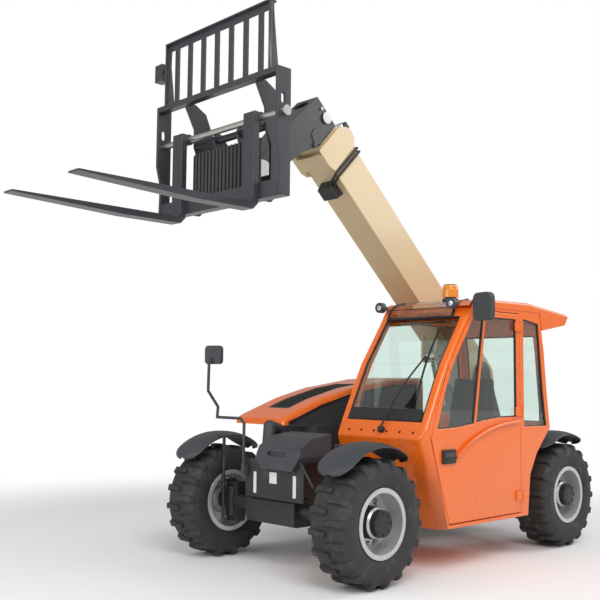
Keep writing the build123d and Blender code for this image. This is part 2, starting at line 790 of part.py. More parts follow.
# the hood's side outline, columns: along, height
hood_side = [
    (hood_back, hood_low),
    (hood_back, 1330),
    (-790, 1356),
    (-380, 1340),
    (170, 1262),
    (500, 1180),
    (840, 1062),
    (hood_front - 12, 1028),
    (hood_front, hood_low),
]
skirt = 45.0  # the hood's inner wall is only this deep
screen_across = hood_inner - hood_wall - 16
screen_top = [(-740, 1285), (-380, 1288), (170, 1210), (500, 1128), (840, 1008)]
tube_middle = (-380.0 - 810.0) / 2
with BuildPart() as engine_bay:
    bay_middle = level((bay_floor + bay_top) / 2)
    block(bay_middle, (bay_back, bay_outer), (bay_front, bay_inner), bay_top - bay_floor)
    with BuildSketch(level(bay_floor + bay_wall)):
        with Locations(((bay_back + bay_front) / 2, (bay_outer + bay_inner) / 2)):
            Rectangle(bay_front - bay_back - 2 * bay_wall, bay_inner - bay_outer - 2 * bay_wall)
    extrude(amount=bay_top, mode=Mode.SUBTRACT)
    # arms and tube that carry the hood's hinge
    for across in (-480, -710):
        with BuildSketch(side(across)) as arm:
            with Locations(hood_hinge):
                Circle(hinge_tube + 8)
            Polygon(
                (bay_back + 5, bay_top - 90),
                (bay_back + 5, bay_top - 3),
                (hood_back - 18, bay_top - 3),
                (hood_back - 18, hood_hinge[1]),
                (hood_back - 46, hood_hinge[1]),
                (hood_back - 54, bay_top - 10),
                (hood_back + 60, bay_top - 90),
            )
        extrude(arm.sketch, amount=8, both=True)
    rod(side(tube_middle), hood_hinge, hinge_tube, 215)
    # dark screen that closes the engine's inner side under the hood's skirt
    with BuildSketch(side(screen_across)) as panel:
        Polygon((-740, bay_top - 12), *screen_top, (840, bay_top - 12))
    extrude(panel.sketch, amount=4, both=True)
    block(level(bay_top - 6), (bay_back, screen_across), (bay_front, bay_inner), 12)
engine_bay.part.label = "engine_bay"
export_step(engine_bay.part, "parts/engine_bay.step")

engine_top = 950.0
with BuildPart() as engine:
    engine_low = bay_floor + bay_wall
    block(level((engine_low + engine_top) / 2), (-500, -780), (500, -380), engine_top - engine_low)
engine.part.label = "engine"
export_step(engine.part, "parts/engine.step")

hood_middle = (hood_inner + hood_outer) / 2
hood_half = (hood_inner - hood_outer) / 2
grille_back = -100.0
grille_front = 720.0
grille_right = -720.0
grille_left = -470.0
with BuildPart() as hood:
    with BuildSketch(side(hood_middle)):
        Polygon(*hood_side)
    extrude(amount=hood_half, both=True)
    fillet([e for e in hood.edges() if e.center().Z > 1000 and abs((e % 0.5).Y) < 0.1], 45)
    with BuildSketch(side(hood_middle)):
        Polygon(*hood_side)
        offset(amount=-hood_wall, kind=Kind.INTERSECTION)
        Polygon((hood_back + hood_wall, hood_low - 1), (hood_back + hood_wall, 1100),
                (hood_front - hood_wall - 4, 1000), (hood_front - hood_wall - 4, hood_low - 1))
    extrude(amount=hood_half - hood_wall, both=True, mode=Mode.SUBTRACT)
    # the inner wall ends in a skirt
    with BuildSketch(side(hood_inner - hood_wall / 2)):
        Polygon(
            (-760, hood_low - 1),
            *[(a, h - skirt) for a, h in [(-760, 1348), *hood_side[3:6], (860, 1055)]],
            (860, hood_low - 1),
        )
    extrude(amount=hood_wall, both=True, mode=Mode.SUBTRACT)
    # opening for the grille
    with BuildSketch(level(1000)):
        with Locations(((grille_back + grille_front) / 2, (grille_left + grille_right) / 2)):
            RectangleRounded(grille_front - grille_back, grille_left - grille_right, 30)
    extrude(amount=500, mode=Mode.SUBTRACT)
    # hinge arms round the tube behind the hood
    for across in (hood_inner - 90, hood_outer + 90):
        with BuildSketch(side(across)) as arm:
            with Locations(hood_hinge):
                Circle(hinge_tube + 14)
            with Locations((hood_back + 5, hood_hinge[1] + 10)):
                Rectangle(10, 70)
            make_hull()
        extrude(amount=8, both=True)
        rod(side(across), hood_hinge, hinge_tube + slide_gap, 20, Mode.SUBTRACT)
hood.part.label = "hood"
export_step(hood.part, "parts/hood.step")

with BuildPart() as hood_grille:
    with BuildSketch(side((grille_left + grille_right) / 2)):
        line = [(a, h) for a, h in hood_side if grille_back < a < grille_front]
        ends = hood_side[1:-1]
        first = (grille_back + slide_gap, face_at_along(grille_back + slide_gap, ends))
        last = (grille_front - slide_gap, face_at_along(grille_front - slide_gap, ends))
        top = [first, *line, last]
        Polygon(*[(a, h - 3) for a, h in top], *[(a, h - 15) for a, h in reversed(top)])
    extrude(amount=(grille_left - grille_right) / 2 - slide_gap, both=True)
    corners_up = [e for e in hood_grille.edges() if e.length < 20]
    fillet(corners_up, 31)
hood_grille.part.label = "hood_grille"
export_step(hood_grille.part, "parts/hood_grille.step")

# ---- front cover, mirrors, beacon and lamps ------------------------------------------------------
cover_right = -154.0
cover_left = 293.0
with BuildPart() as front_cover:
    with BuildSketch(side((cover_left + cover_right) / 2)):
        Polygon(
            (1010, 760 + slide_gap),
            (1010, 950),
            (1200, 930),
            (1328, 862),
            (1342, 800),
            (1335, 700),
            (front_plate_along + plate + slide_gap, 700),
            (front_plate_along + plate + slide_gap, 760 + slide_gap),
        )
    extrude(amount=(cover_left - cover_right) / 2, both=True)
    fillet([e for e in front_cover.edges() if e.center().Z > 780 and abs((e % 0.5).Y) < 0.1], 25)
    # seen from the front the cover narrows to its foot
    with BuildSketch(front(1000)):
        Polygon(
            (cover_right + 26, 980),
            (cover_left - 8, 980),
            (cover_left - 8, 856),
            (cover_left, 797),
            (216, 700),
            (-85, 695),
            (cover_right, 784),
            (cover_right + 26, 849),
        )
    extrude(amount=400, mode=Mode.INTERSECT)
    # shallow hand slot in its front
    with BuildSketch(front(1352)):
        with Locations(((cover_left + cover_right) / 2, 812)):
            SlotOverall(190, 34)
    extrude(amount=-30, mode=Mode.SUBTRACT)
front_cover.part.label = "front_cover"
export_step(front_cover.part, "parts/front_cover.step")


def tube(points, radius):
    """A round bar through points in space, each (along, across, height), with round corners."""
    at = [(a - origin_along, c - origin_across, h) for a, c, h in points]
    for near, far in zip(at, at[1:]):
        run = Vector(*far) - Vector(*near)
        with BuildSketch(Plane(origin=near, z_dir=run)) as ring:
            Circle(radius)
        extrude(ring.sketch, amount=run.length)
    for spot in at[1:-1]:
        with Locations(spot):
            Sphere(radius)


def mirror_head(middle, width, height, corner, thick, turn):
    """A mirror's rounded housing about a point in space, turned about the upright through it."""
    facing = radians(turn)
    spot = (middle[0] - origin_along, middle[1] - origin_across, middle[2])
    plane = Plane(origin=spot, x_dir=(-sin(facing), cos(facing), 0), z_dir=(cos(facing), sin(facing), 0))
    with BuildSketch(plane) as face:
        RectangleRounded(width, height, corner)
    extrude(face.sketch, amount=thick / 2, both=True)


with BuildPart() as mirror_left:
    tube([(215, cab_left + 8, cab_eaves + 5), (270, 985, cab_eaves + 45), (280, 1060, cab_eaves + 45)], 9)
    mirror_head((275, 1059.1, cab_eaves - 20), 184, 200, 48, 42, -14)
    add(cab_roof.part, mode=Mode.SUBTRACT)
mirror_left.part.label = "mirror_left"
export_step(mirror_left.part, "parts/mirror_left.step")

with BuildPart() as mirror_right:
    tube(
        [
            (front_plate_along + plate + 30, -front_plate_half + 10, 700),
            (front_plate_along + plate + 30, -front_plate_half + 10, 1010),
            (front_plate_along + plate + 30, -front_plate_half - 30, 1044),
            (front_plate_along + plate + 30, -600, 1044),
            (front_plate_along + plate + 24, -600, 1121),
            (1422, -600, 1241),
            (1418, -600, 1470),
        ],
        11,
    )
    # the pole's foot on the front plate
    plate_face = front_plate_along + plate
    block(side(-front_plate_half + 10), (plate_face, 640), (plate_face + 40, 720), 36)
    mirror_head((1372, -600, 1510), 150, 140, 30, 36, 12)
    rod(level(1470), (1400, -600), 11, 14)
mirror_right.part.label = "mirror_right"
export_step(mirror_right.part, "parts/mirror_right.step")

# intake elbow from the engine bay down to the right side plate
elbow_foot = frame_across - frame_half + plate / 2
with BuildPart() as intake_pipe:
    tube([(965, -322, 955), (1115, -250, 985), (1150, elbow_foot, 860), (1150, elbow_foot, 760)], 46)
intake_pipe.part.label = "intake_pipe"
export_step(intake_pipe.part, "parts/intake_pipe.step")

beacon_spot = (-30.0, 550.0)
beacon_base = roof_top - 23
with BuildPart() as beacon:
    for low, high, radius in ((0, 40, 62), (40, 62, 40), (62, 150, 50)):
        rod(level(beacon_base + (low + high) / 2), beacon_spot, radius, (high - low) / 2)
    add(cab_roof.part, mode=Mode.SUBTRACT)
beacon.part.label = "beacon"
export_step(beacon.part, "parts/beacon.step")

lamp_along = 300.0
lamp_height = cab_eaves + 15
with BuildPart() as work_lamps:
    for across in (cab_right + 28, cab_left - 97):
        rod(front(lamp_along), (across, lamp_height), 40, 22)
        block(front(lamp_along - 45), (across - 14, lamp_height - 12), (across + 14, lamp_height + 12), 60)
    add(cab_roof.part, mode=Mode.SUBTRACT)
work_lamps.part.label = "work_lamps"
export_step(work_lamps.part, "parts/work_lamps.step")

# ---- boom ---------------------------------------------------------------------------------------
cheek = 10.0  # the nose's side plates
cheek_back = 2440.0
cheek_round = (2535.0, 115.0)
cheek_radius = 100.0
far_cheek = 47.0  # how far the nose reaches out on its right side
lug_plate = 20.0
lug_offset = lift_barrel_radius + move_gap + lug_plate / 2
lug_radius = 60.0
lug_pin = 22.0
lug_spot = (lift_lug_out, -lift_lug_drop)
boom_middle_out = (boom_tail + boom_nose) / 2
with BuildPart() as boom:
    with BuildSketch(boom_side(frame_across)) as outline:
        with Locations((boom_middle_out, 0)):
            Rectangle(boom_nose - boom_tail, boom_depth)
        fillet(outline.vertices().group_by(Axis.X)[0], 140)
    extrude(outline.sketch, amount=boom_width / 2, both=True)
    # side plates of the nose, each with a round top that stands over the boom
    for hand, out in ((1, cheek), (-1, far_cheek)):
        with BuildSketch(boom_side(frame_across + hand * (boom_width + out) / 2)) as face:
            Polygon((cheek_back, -160), (cheek_back, 150), (boom_nose + 30, 135), (boom_nose + 36, -184),
                    (cheek_back + 60, -184))
            with Locations(cheek_round):
                Circle(cheek_radius)
        extrude(face.sketch, amount=out / 2, both=True)
    with BuildSketch(boom_side(frame_across)) as under:
        Polygon((cheek_back + 60, -184), (cheek_back + 60, -150), (boom_nose, -150), (boom_nose, -184))
    extrude(under.sketch, amount=boom_width / 2, both=True)
    with BuildSketch(boom_end(boom_tail + 60)) as bore:
        Rectangle(boom_width - 2 * boom_wall, boom_depth - 2 * boom_wall)
    extrude(bore.sketch, amount=boom_nose - boom_tail, mode=Mode.SUBTRACT)
    # boss round the pivot pin
    rod(boom_side(frame_across), (0, 0), boom_pin_radius + 30, boom_width / 2)
    rod(boom_side(frame_across), (0, 0), boom_pin_radius + slide_gap, boom_width, Mode.SUBTRACT)
    # wear pads inside the nose
    with BuildSketch(boom_end(boom_nose - pad_length)) as pads:
        for spot, size in (
            ((0, boom_depth / 2 - boom_wall - inner_gap / 2), (120, inner_gap)),
            ((0, -boom_depth / 2 + boom_wall + inner_gap / 2), (120, inner_gap)),
            ((boom_width / 2 - boom_wall - inner_gap / 2, 0), (inner_gap, 160)),
            ((-boom_width / 2 + boom_wall + inner_gap / 2, 0), (inner_gap, 160)),
        ):
            with Locations(spot):
                Rectangle(*size)
    extrude(pads.sketch, amount=pad_length)
    inner_wide = boom_width - 2 * boom_wall - 2 * inner_gap
    inner_deep = boom_depth - 2 * boom_wall - 2 * inner_gap
    with BuildSketch(boom_end(boom_nose - pad_length - 5)) as fit_bore:
        Rectangle(inner_wide + 2 * slide_gap, inner_deep + 2 * slide_gap)
    extrude(fit_bore.sketch, amount=pad_length + 10, mode=Mode.SUBTRACT)
    # lugs and pin for the lift cylinder
    for hand in (1, -1):
        with BuildSketch(boom_side(frame_across + hand * lug_offset)) as lug:
            with Locations(lug_spot):
                Circle(lug_radius)
            with Locations((lift_lug_out, -boom_depth / 2 - 4)):
                Rectangle(300, 8)
            make_hull()
        extrude(lug.sketch, amount=lug_plate / 2, both=True)
    rod(boom_side(frame_across), lug_spot, lug_pin, lug_offset + lug_plate, Mode.SUBTRACT)
boom.part.label = "boom"
export_step(boom.part, "parts/boom.step")



def boom_spot(out, up, beside):
    """A point in space given in the boom's own lean, with its distance left of the boom's middle."""
    along, height = boom_point(out, up)
    return (along, frame_across + beside, height)


line_radius = 10.0
line_beside = boom_width / 2 + line_radius + 4
cluster_low = -238.0
with BuildPart() as boom_lines:
    for back in (0.0, 34.0):
        out = cheek_back - 26 - back
        tube(
            [
                boom_spot(out + 40, boom_depth / 2 + 14, -60),
                boom_spot(out, boom_depth / 2 + 26, 60),
                boom_spot(out, boom_depth / 2 + 10, line_beside),
                boom_spot(out + 14, -boom_depth / 2 - 18, line_beside),
                boom_spot(out - 20, -boom_depth / 2 - 36, line_beside - 46),
                boom_spot(out - 90, -boom_depth / 2 - 44, 20),
            ],
            line_radius,
        )
    with BuildSketch(boom_side(frame_across)) as valve:
        Polygon((2225, -boom_depth / 2), (2365, -boom_depth / 2), (2350, cluster_low), (2245, cluster_low))
    extrude(valve.sketch, amount=70, both=True)
boom_lines.part.label = "boom_lines"
export_step(boom_lines.part, "parts/boom_lines.step")

boom_lamp_out = 2535.0
with BuildPart() as boom_lamp:
    with BuildSketch(boom_end(boom_lamp_out - 55)) as shade:
        with Locations((0, 300)):
            Circle(26)
    extrude(shade.sketch, amount=50)
    with BuildSketch(boom_end(boom_lamp_out - 10)) as face:
        with Locations((0, 300)):
            Circle(46)
    extrude(face.sketch, amount=45)
    with BuildSketch(boom_side(frame_across)) as stalk:
        Polygon((boom_lamp_out - 22, boom_depth / 2), (boom_lamp_out + 22, boom_depth / 2),
                (boom_lamp_out + 8, 270), (boom_lamp_out - 8, 270))
    extrude(stalk.sketch, amount=16, both=True)
boom_lamp.part.label = "boom_lamp"
export_step(boom_lamp.part, "parts/boom_lamp.step")

with BuildPart() as inner_boom:
    with BuildSketch(boom_end(inner_tail)) as tube_face:
        Rectangle(inner_wide, inner_deep)
        Rectangle(inner_wide - 2 * inner_wall, inner_deep - 2 * inner_wall, mode=Mode.SUBTRACT)
    extrude(tube_face.sketch, amount=inner_nose - inner_tail)
    with BuildSketch(boom_end(inner_tail)) as pads:
        pad_high = inner_gap - slide_gap
        for spot, size in (
            ((0, inner_deep / 2 + pad_high / 2), (120, pad_high)),
            ((0, -inner_deep / 2 - pad_high / 2), (120, pad_high)),
            ((inner_wide / 2 + pad_high / 2, 0), (pad_high, 160)),
            ((-inner_wide / 2 - pad_high / 2, 0), (pad_high, 160)),
        ):
            with Locations(spot):
                Rectangle(*size)
    extrude(pads.sketch, amount=pad_length)
inner_boom.part.label = "inner_boom"
export_step(inner_boom.part, "parts/inner_boom.step")

hitch_spot = (hitch_pin_out, -hitch_pin_drop)
# the head's side outline, columns: out along the boom, up from its middle
head_side = [
    (inner_nose, 130),
    (2935, 133),
    (2975, -300),
    (2985, -740),
    (2830, -740),
    (2740, -300),
    (inner_nose, -135),
]
head_boss = 80.0
with BuildPart() as boom_head:
    with BuildSketch(boom_side(frame_across)) as outline:
        Polygon(*head_side)
    extrude(outline.sketch, amount=nose_width / 2, both=True)
    with BuildSketch(boom_side(frame_across)) as hollow:
        Polygon(*head_side)
        offset(amount=-nose_wall, kind=Kind.INTERSECTION)
    extrude(hollow.sketch, amount=nose_width / 2 - nose_wall, both=True, mode=Mode.SUBTRACT)
    rod(boom_side(frame_across), hitch_spot, head_boss, nose_width / 2)
    rod(boom_side(frame_across), hitch_spot, hitch_pin_radius + slide_gap, nose_width, Mode.SUBTRACT)
    # oval opening in the head's upper front, round bosses on its sides and a bar across its root
    with BuildSketch(boom_end(2900)) as oval:
        with Locations((0, 40)):
            Ellipse(72, 48)
    extrude(oval.sketch, amount=120, mode=Mode.SUBTRACT)
    rod(boom_side(frame_across), (2729, -95), 62, nose_width / 2 + 8)
    rod(boom_side(frame_across), (2704, -168), 18, nose_width / 2 + 14)
boom_head.part.label = "boom_head"
export_step(boom_head.part, "parts/boom_head.step")

# ---- hitch, carriage, backrest and forks ----------------------------------------------------------
hitch = boom_point(*hitch_spot)
lug_inner = 118.0
flag_plate = 18.0
flag_radius = 84.0
with BuildPart() as hitch_pin:
    rod(side(frame_across), hitch, hitch_pin_radius, lug_inner + hitch_lug + flag_plate)
    # a round flag plate on each end keeps the pin in its lugs
    for hand in (1, -1):
        middle = frame_across + hand * (lug_inner + hitch_lug + slide_gap + flag_plate / 2)
        rod(side(middle), hitch, flag_radius, flag_plate / 2)
hitch_pin.part.label = "hitch_pin"
export_step(hitch_pin.part, "parts/hitch_pin.step")

upper_tube = (1680.0, 3020.0)
lower_tube = (1590.0, 2690.0)
with BuildPart() as quick_hitch:
    for hand in (1, -1):
        with BuildSketch(side(frame_across + hand * (lug_inner + hitch_lug / 2))) as lug:
            for spot, radius in ((hitch, 62), (upper_tube, 45), (lower_tube, 45)):
                with Locations(spot):
                    Circle(radius)
            make_hull()
        extrude(lug.sketch, amount=hitch_lug / 2, both=True)
        for spot in (upper_tube, lower_tube):
            reach = inner_plate_half - 10 - lug_inner
            middle = frame_across + hand * (lug_inner + reach / 2)
            rod(side(middle), spot, 26, reach / 2)
    rod(side(frame_across), upper_tube, 26, lug_inner)
    rod(side(frame_across), hitch, hitch_pin_radius + slide_gap, 400, Mode.SUBTRACT)
quick_hitch.part.label = "quick_hitch"
export_step(quick_hitch.part, "parts/quick_hitch.step")

top_bar_back = 1780.0
top_bar_low = 3295.0
beam_low = 2500.0
beam_high = 2610.0
shaft = (shaft_along, shaft_height)
# a side plate's outline, columns: along, height
plate_side = [
    (carriage_back, carriage_low),
    (carriage_back, carriage_high),
    (carriage_front, carriage_high),
    (carriage_front, carriage_low + 380),
    (1805, carriage_low + 230),
    (1812, carriage_low),
]
# a hook plate's outline, columns: along, height
hook_side = [
    (1800, 3330),
    (1700, 3144),
    (1700, 3010),
    (1650, 2900),
    (1650, 2650),
    (1722, 2600),
    (1722, 2510),
    (1640, 2510),
    (1510, 2640),
    (1500, 2860),
    (1520, 3100),
    (1600, 3275),
    (1700, 3330),
]
with BuildPart() as carriage:
    for hand in (1, -1):
        with BuildSketch(side(frame_across + hand * (carriage_half - carriage_plate / 2))):
            Polygon(*plate_side)
            with Locations((shaft_along + 10, shaft_height + 85)):
                SlotOverall(72, 36, rotation=90, mode=Mode.SUBTRACT)
        extrude(amount=carriage_plate / 2, both=True)
        with BuildSketch(side(frame_across + hand * inner_plate_half)):
            Polygon(*hook_side)
            Polygon((1558, 3012), (1590, 3000), (1530, 2808), (1498, 2820), mode=Mode.SUBTRACT)
        extrude(amount=carriage_plate / 2, both=True)
    full_width = 2 * carriage_half
    block(side(frame_across), (top_bar_back, top_bar_low), (carriage_front, carriage_high), full_width)
    block(side(frame_across), (carriage_back, beam_low), (1800, beam_high), 2 * carriage_half)
    rod(side(frame_across), shaft, shaft_radius + slide_gap, carriage_half + 50, Mode.SUBTRACT)
carriage.part.label = "carriage"
export_step(carriage.part, "parts/carriage.step")

rib_radius = 14.0
screen_rise = shaft_height - 105  # under the hitch's upper tube
rib_pitch = 40.0
rib_reach = 8  # ribs on each side of the middle one
with BuildPart() as carriage_screen:
    block(
        side(frame_across),
        (1708, beam_high),
        (1720, screen_rise),
        2 * (inner_plate_half - carriage_plate),
    )
    for step in range(-rib_reach, rib_reach + 1):
        with BuildSketch(level(beam_high)):
            with Locations((1727, frame_across + step * rib_pitch)):
                Circle(rib_radius)
        extrude(amount=screen_rise - beam_high)
carriage_screen.part.label = "carriage_screen"
export_step(carriage_screen.part, "parts/carriage_screen.step")

shaft_end = 690.0
collar_radius = 34.0
with BuildPart() as fork_shaft:
    rod(side(frame_across), shaft, shaft_radius, shaft_end)
    for hand in (1, -1):
        middle = frame_across + hand * (carriage_half + shaft_end) / 2
        rod(side(middle), shaft, collar_radius, (shaft_end - carriage_half) / 2 - slide_gap)
fork_shaft.part.label = "fork_shaft"
export_step(fork_shaft.part, "parts/fork_shaft.step")

bar_pitch = 153.0
bar_width = 50.0
rest_bar = 60.0
rest_top_half = 575.0
rest_low_half = 610.0
rest_along = 1808.0
rest_thick = 12.0
with BuildPart() as backrest:
    with BuildSketch(front(rest_along)):
        with Locations((frame_across, 0)):
            Polygon(
                (-rest_low_half, carriage_high),
                (-rest_top_half, backrest_top),
                (rest_top_half, backrest_top),
                (rest_low_half, carriage_high),
            )
            Polygon(
                (-rest_low_half + 60, carriage_high - 1),
                (-rest_top_half + 40, backrest_top - rest_bar),
                (rest_top_half - 40, backrest_top - rest_bar),
                (rest_low_half - 60, carriage_high - 1),
                mode=Mode.SUBTRACT,
            )
            for step in range(-3, 4):
                with Locations((step * bar_pitch, (carriage_high + backrest_top) / 2)):
                    Rectangle(bar_width, backrest_top - carriage_high)
    extrude(amount=rest_thick / 2, both=True)
    with BuildSketch(front(rest_along)):
        with Locations((frame_across, backrest_top - 6)):
            Rectangle(2 * rest_top_half, 12)
    extrude(amount=rest_bar / 2, both=True)
    # deep posts behind the outer bars, and the lamp on the right one
    for hand in (1, -1):
        with BuildSketch(side(frame_across + hand * (rest_top_half - 8))):
            Polygon(
                (1752, carriage_high),
                (1838, carriage_high),
                (1838, backrest_top),
                (1806, backrest_top),
            )
        extrude(amount=rest_thick / 2, both=True)
    lamp_side = frame_across - rest_top_half
    block(side(lamp_side - 20), (1790, backrest_top - 196), (1806, backrest_top - 180), 70)
    block(side(lamp_side - 98), (1758, backrest_top - 258), (1828, backrest_top - 128), 90)
backrest.part.label = "backrest"
export_step(backrest.part, "parts/backrest.step")

shank_back = 1802.0
fork_tip = shank_back + fork_thick + fork_reach
fork_top = fork_bottom + fork_thick
fork_bend = shank_back + 0.4 * fork_reach  # ahead of it the blade thins to its tip
hanger_top = shaft_height + 35
for name, hand in (("fork_left", 1), ("fork_right", -1)):
    with BuildPart() as fork:
        with BuildSketch(side(frame_across + hand * fork_half_spacing)):
            Polygon(
                (shank_back, hanger_top),
                (shank_back, fork_bottom + 40),
                (shank_back + 40, fork_bottom),
                (fork_bend, fork_bottom),
                (fork_tip, fork_top - 12),
                (fork_tip, fork_top),
                (shank_back + fork_thick + 30, fork_top),
                (shank_back + fork_thick, fork_top + 30),
                (shank_back + fork_thick, hanger_top),
                )
            with Locations(shaft):
                Circle(shaft_radius + 17)
        extrude(amount=fork_width / 2, both=True)
        rod(side(frame_across), shaft, shaft_radius + slide_gap, 1000, Mode.SUBTRACT)
    fork.part.label = name
    export_step(fork.part, f"parts/{name}.step")

# ---- lift cylinder ---------------------------------------------------------------------------------
lug_at = boom_point(*lug_spot)
run_along = lug_at[0] - lift_base_along
run_up = lug_at[1] - lift_base_height
lift_length = hypot(run_along, run_up)
lift_line = Vector(run_along / lift_length, 0, run_up / lift_length)


def lift_plane(out):
    """A plane square to the lift cylinder, a distance up from its base pin."""
    foot = Vector(lift_base_along - origin_along, frame_across - origin_across, lift_base_height)
    return Plane(origin=foot + lift_line * out, x_dir=(0, 1, 0), z_dir=lift_line)


barrel_foot = 45.0
gland_length = 25.0
piston_length = 25.0
with BuildPart() as lift_barrel:
    with BuildSketch(lift_plane(0)) as case:
        Circle(lift_barrel_radius)
    extrude(case.sketch, amount=lift_barrel_length)
    with BuildSketch(lift_plane(barrel_foot)) as bore:
        Circle(lift_barrel_radius - 10)
    extrude(bore.sketch, amount=lift_barrel_length - barrel_foot - gland_length, mode=Mode.SUBTRACT)
    with BuildSketch(lift_plane(barrel_foot)) as gland:
        Circle(lift_rod_radius + slide_gap)
    extrude(gland.sketch, amount=lift_barrel_length, mode=Mode.SUBTRACT)
    rod(side(frame_across), lift_base, lift_barrel_radius, lift_eye_width)
    rod(side(frame_across), lift_base, lift_pin_radius + slide_gap, 200, Mode.SUBTRACT)
    with BuildSketch(lift_plane(barrel_foot)) as well:
        Circle(lift_barrel_radius - 10)
    extrude(well.sketch, amount=lift_barrel_length - barrel_foot - gland_length, mode=Mode.SUBTRACT)
lift_barrel.part.label = "lift_barrel"
export_step(lift_barrel.part, "parts/lift_barrel.step")

with BuildPart() as lift_rod:
    with BuildSketch(lift_plane(lift_length - lift_rod_length)) as bar:
        Circle(lift_rod_radius)
    extrude(bar.sketch, amount=lift_rod_length - lug_pin - 10)
    with BuildSketch(lift_plane(lift_length - lift_rod_length)) as piston:
        Circle(lift_barrel_radius - 10 - slide_gap)
    extrude(piston.sketch, amount=piston_length)
    rod(side(frame_across), lug_at, lift_eye_radius, lug_offset - lug_plate / 2 - slide_gap)
    rod(side(frame_across), lug_at, lug_pin + slide_gap, 200, Mode.SUBTRACT)
lift_rod.part.label = "lift_rod"
export_step(lift_rod.part, "parts/lift_rod.step")
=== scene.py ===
import math

import bmesh
import bpy
from mathutils import Matrix, Vector
from mathutils.bvhtree import BVHTree
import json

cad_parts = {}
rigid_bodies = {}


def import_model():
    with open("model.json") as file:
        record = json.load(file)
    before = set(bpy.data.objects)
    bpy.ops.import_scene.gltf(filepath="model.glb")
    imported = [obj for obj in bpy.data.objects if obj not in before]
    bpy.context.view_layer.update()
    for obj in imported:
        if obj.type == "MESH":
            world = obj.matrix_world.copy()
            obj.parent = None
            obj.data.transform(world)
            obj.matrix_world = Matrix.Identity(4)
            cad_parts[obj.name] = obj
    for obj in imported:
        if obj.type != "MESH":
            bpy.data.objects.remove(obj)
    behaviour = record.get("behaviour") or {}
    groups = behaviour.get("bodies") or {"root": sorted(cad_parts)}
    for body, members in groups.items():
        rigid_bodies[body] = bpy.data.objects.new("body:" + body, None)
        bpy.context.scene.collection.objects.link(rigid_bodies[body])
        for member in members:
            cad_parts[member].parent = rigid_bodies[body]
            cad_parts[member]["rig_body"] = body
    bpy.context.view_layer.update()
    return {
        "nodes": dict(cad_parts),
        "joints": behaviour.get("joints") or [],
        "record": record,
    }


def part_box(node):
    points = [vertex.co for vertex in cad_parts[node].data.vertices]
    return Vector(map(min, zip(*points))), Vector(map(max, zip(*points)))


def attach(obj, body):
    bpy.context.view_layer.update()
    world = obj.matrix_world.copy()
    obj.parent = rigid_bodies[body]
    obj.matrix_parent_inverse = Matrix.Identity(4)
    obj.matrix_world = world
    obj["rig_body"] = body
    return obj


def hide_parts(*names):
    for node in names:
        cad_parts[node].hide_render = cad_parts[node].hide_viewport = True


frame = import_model()
scene = bpy.context.scene

# ---- studio -----------------------------------------------------------------------------------
# The machine stands on a white studio floor that keeps its soft shadow and fades into a white
# backdrop. Three large soft lamps light it, the brightest high in front on the camera's side.
eye = Vector((4.941, 4.521, 1.326))
heading = math.radians(226.15)
pitch = math.radians(4.7)
roll = math.radians(0.58)
ahead = Vector((math.cos(pitch) * math.cos(heading), math.cos(pitch) * math.sin(heading), math.sin(pitch)))
flat_right = Vector((math.sin(heading), -math.cos(heading), 0))
flat_up = flat_right.cross(ahead)
right = math.cos(roll) * flat_right + math.sin(roll) * flat_up
up = math.cos(roll) * flat_up - math.sin(roll) * flat_right

camera = bpy.data.objects.new("camera", bpy.data.cameras.new("camera"))
camera.data.sensor_width = 36
camera.data.lens = 53.35
camera.data.shift_x = 0.0115
camera.data.shift_y = 0.0118
camera.matrix_world = Matrix((
    (right.x, up.x, -ahead.x, eye.x),
    (right.y, up.y, -ahead.y, eye.y),
    (right.z, up.z, -ahead.z, eye.z),
    (0, 0, 0, 1),
))
scene.collection.objects.link(camera)
scene.camera = camera
scene.view_settings.view_transform = "Standard"


class Field:
    """One number or colour that varies over a surface; sums and products of it become Math nodes."""

    def __init__(self, paint, socket):
        self.paint, self.socket = paint, socket

    def math(self, operation, *others):
        node = self.paint.tree.nodes.new("ShaderNodeMath")
        node.operation = operation
        for slot, value in zip(node.inputs, (self, *others)):
            self.paint.feed(slot, value)
        return Field(self.paint, node.outputs[0])

    def __add__(self, other):
        return self.math("ADD", other)

    def __mul__(self, other):
        return self.math("MULTIPLY", other)

    __radd__, __rmul__ = __add__, __mul__

    def ramp(self, low, high):
        """0 below low, 1 above high, smooth between them."""
        curve = {"interpolation_type": "SMOOTHSTEP"}
        limits = {"From Min": low, "From Max": high}
        return self.paint.node("ShaderNodeMapRange", curve, Value=self, **limits)

    def mix(self, dark, light):
        """A colour that goes from dark to light as this goes from 0 to 1."""
        return self.paint.node("ShaderNodeMix", {"data_type": "RGBA"}, "Result_Color",
                               Factor_Float=self, A_Color=dark, B_Color=light)


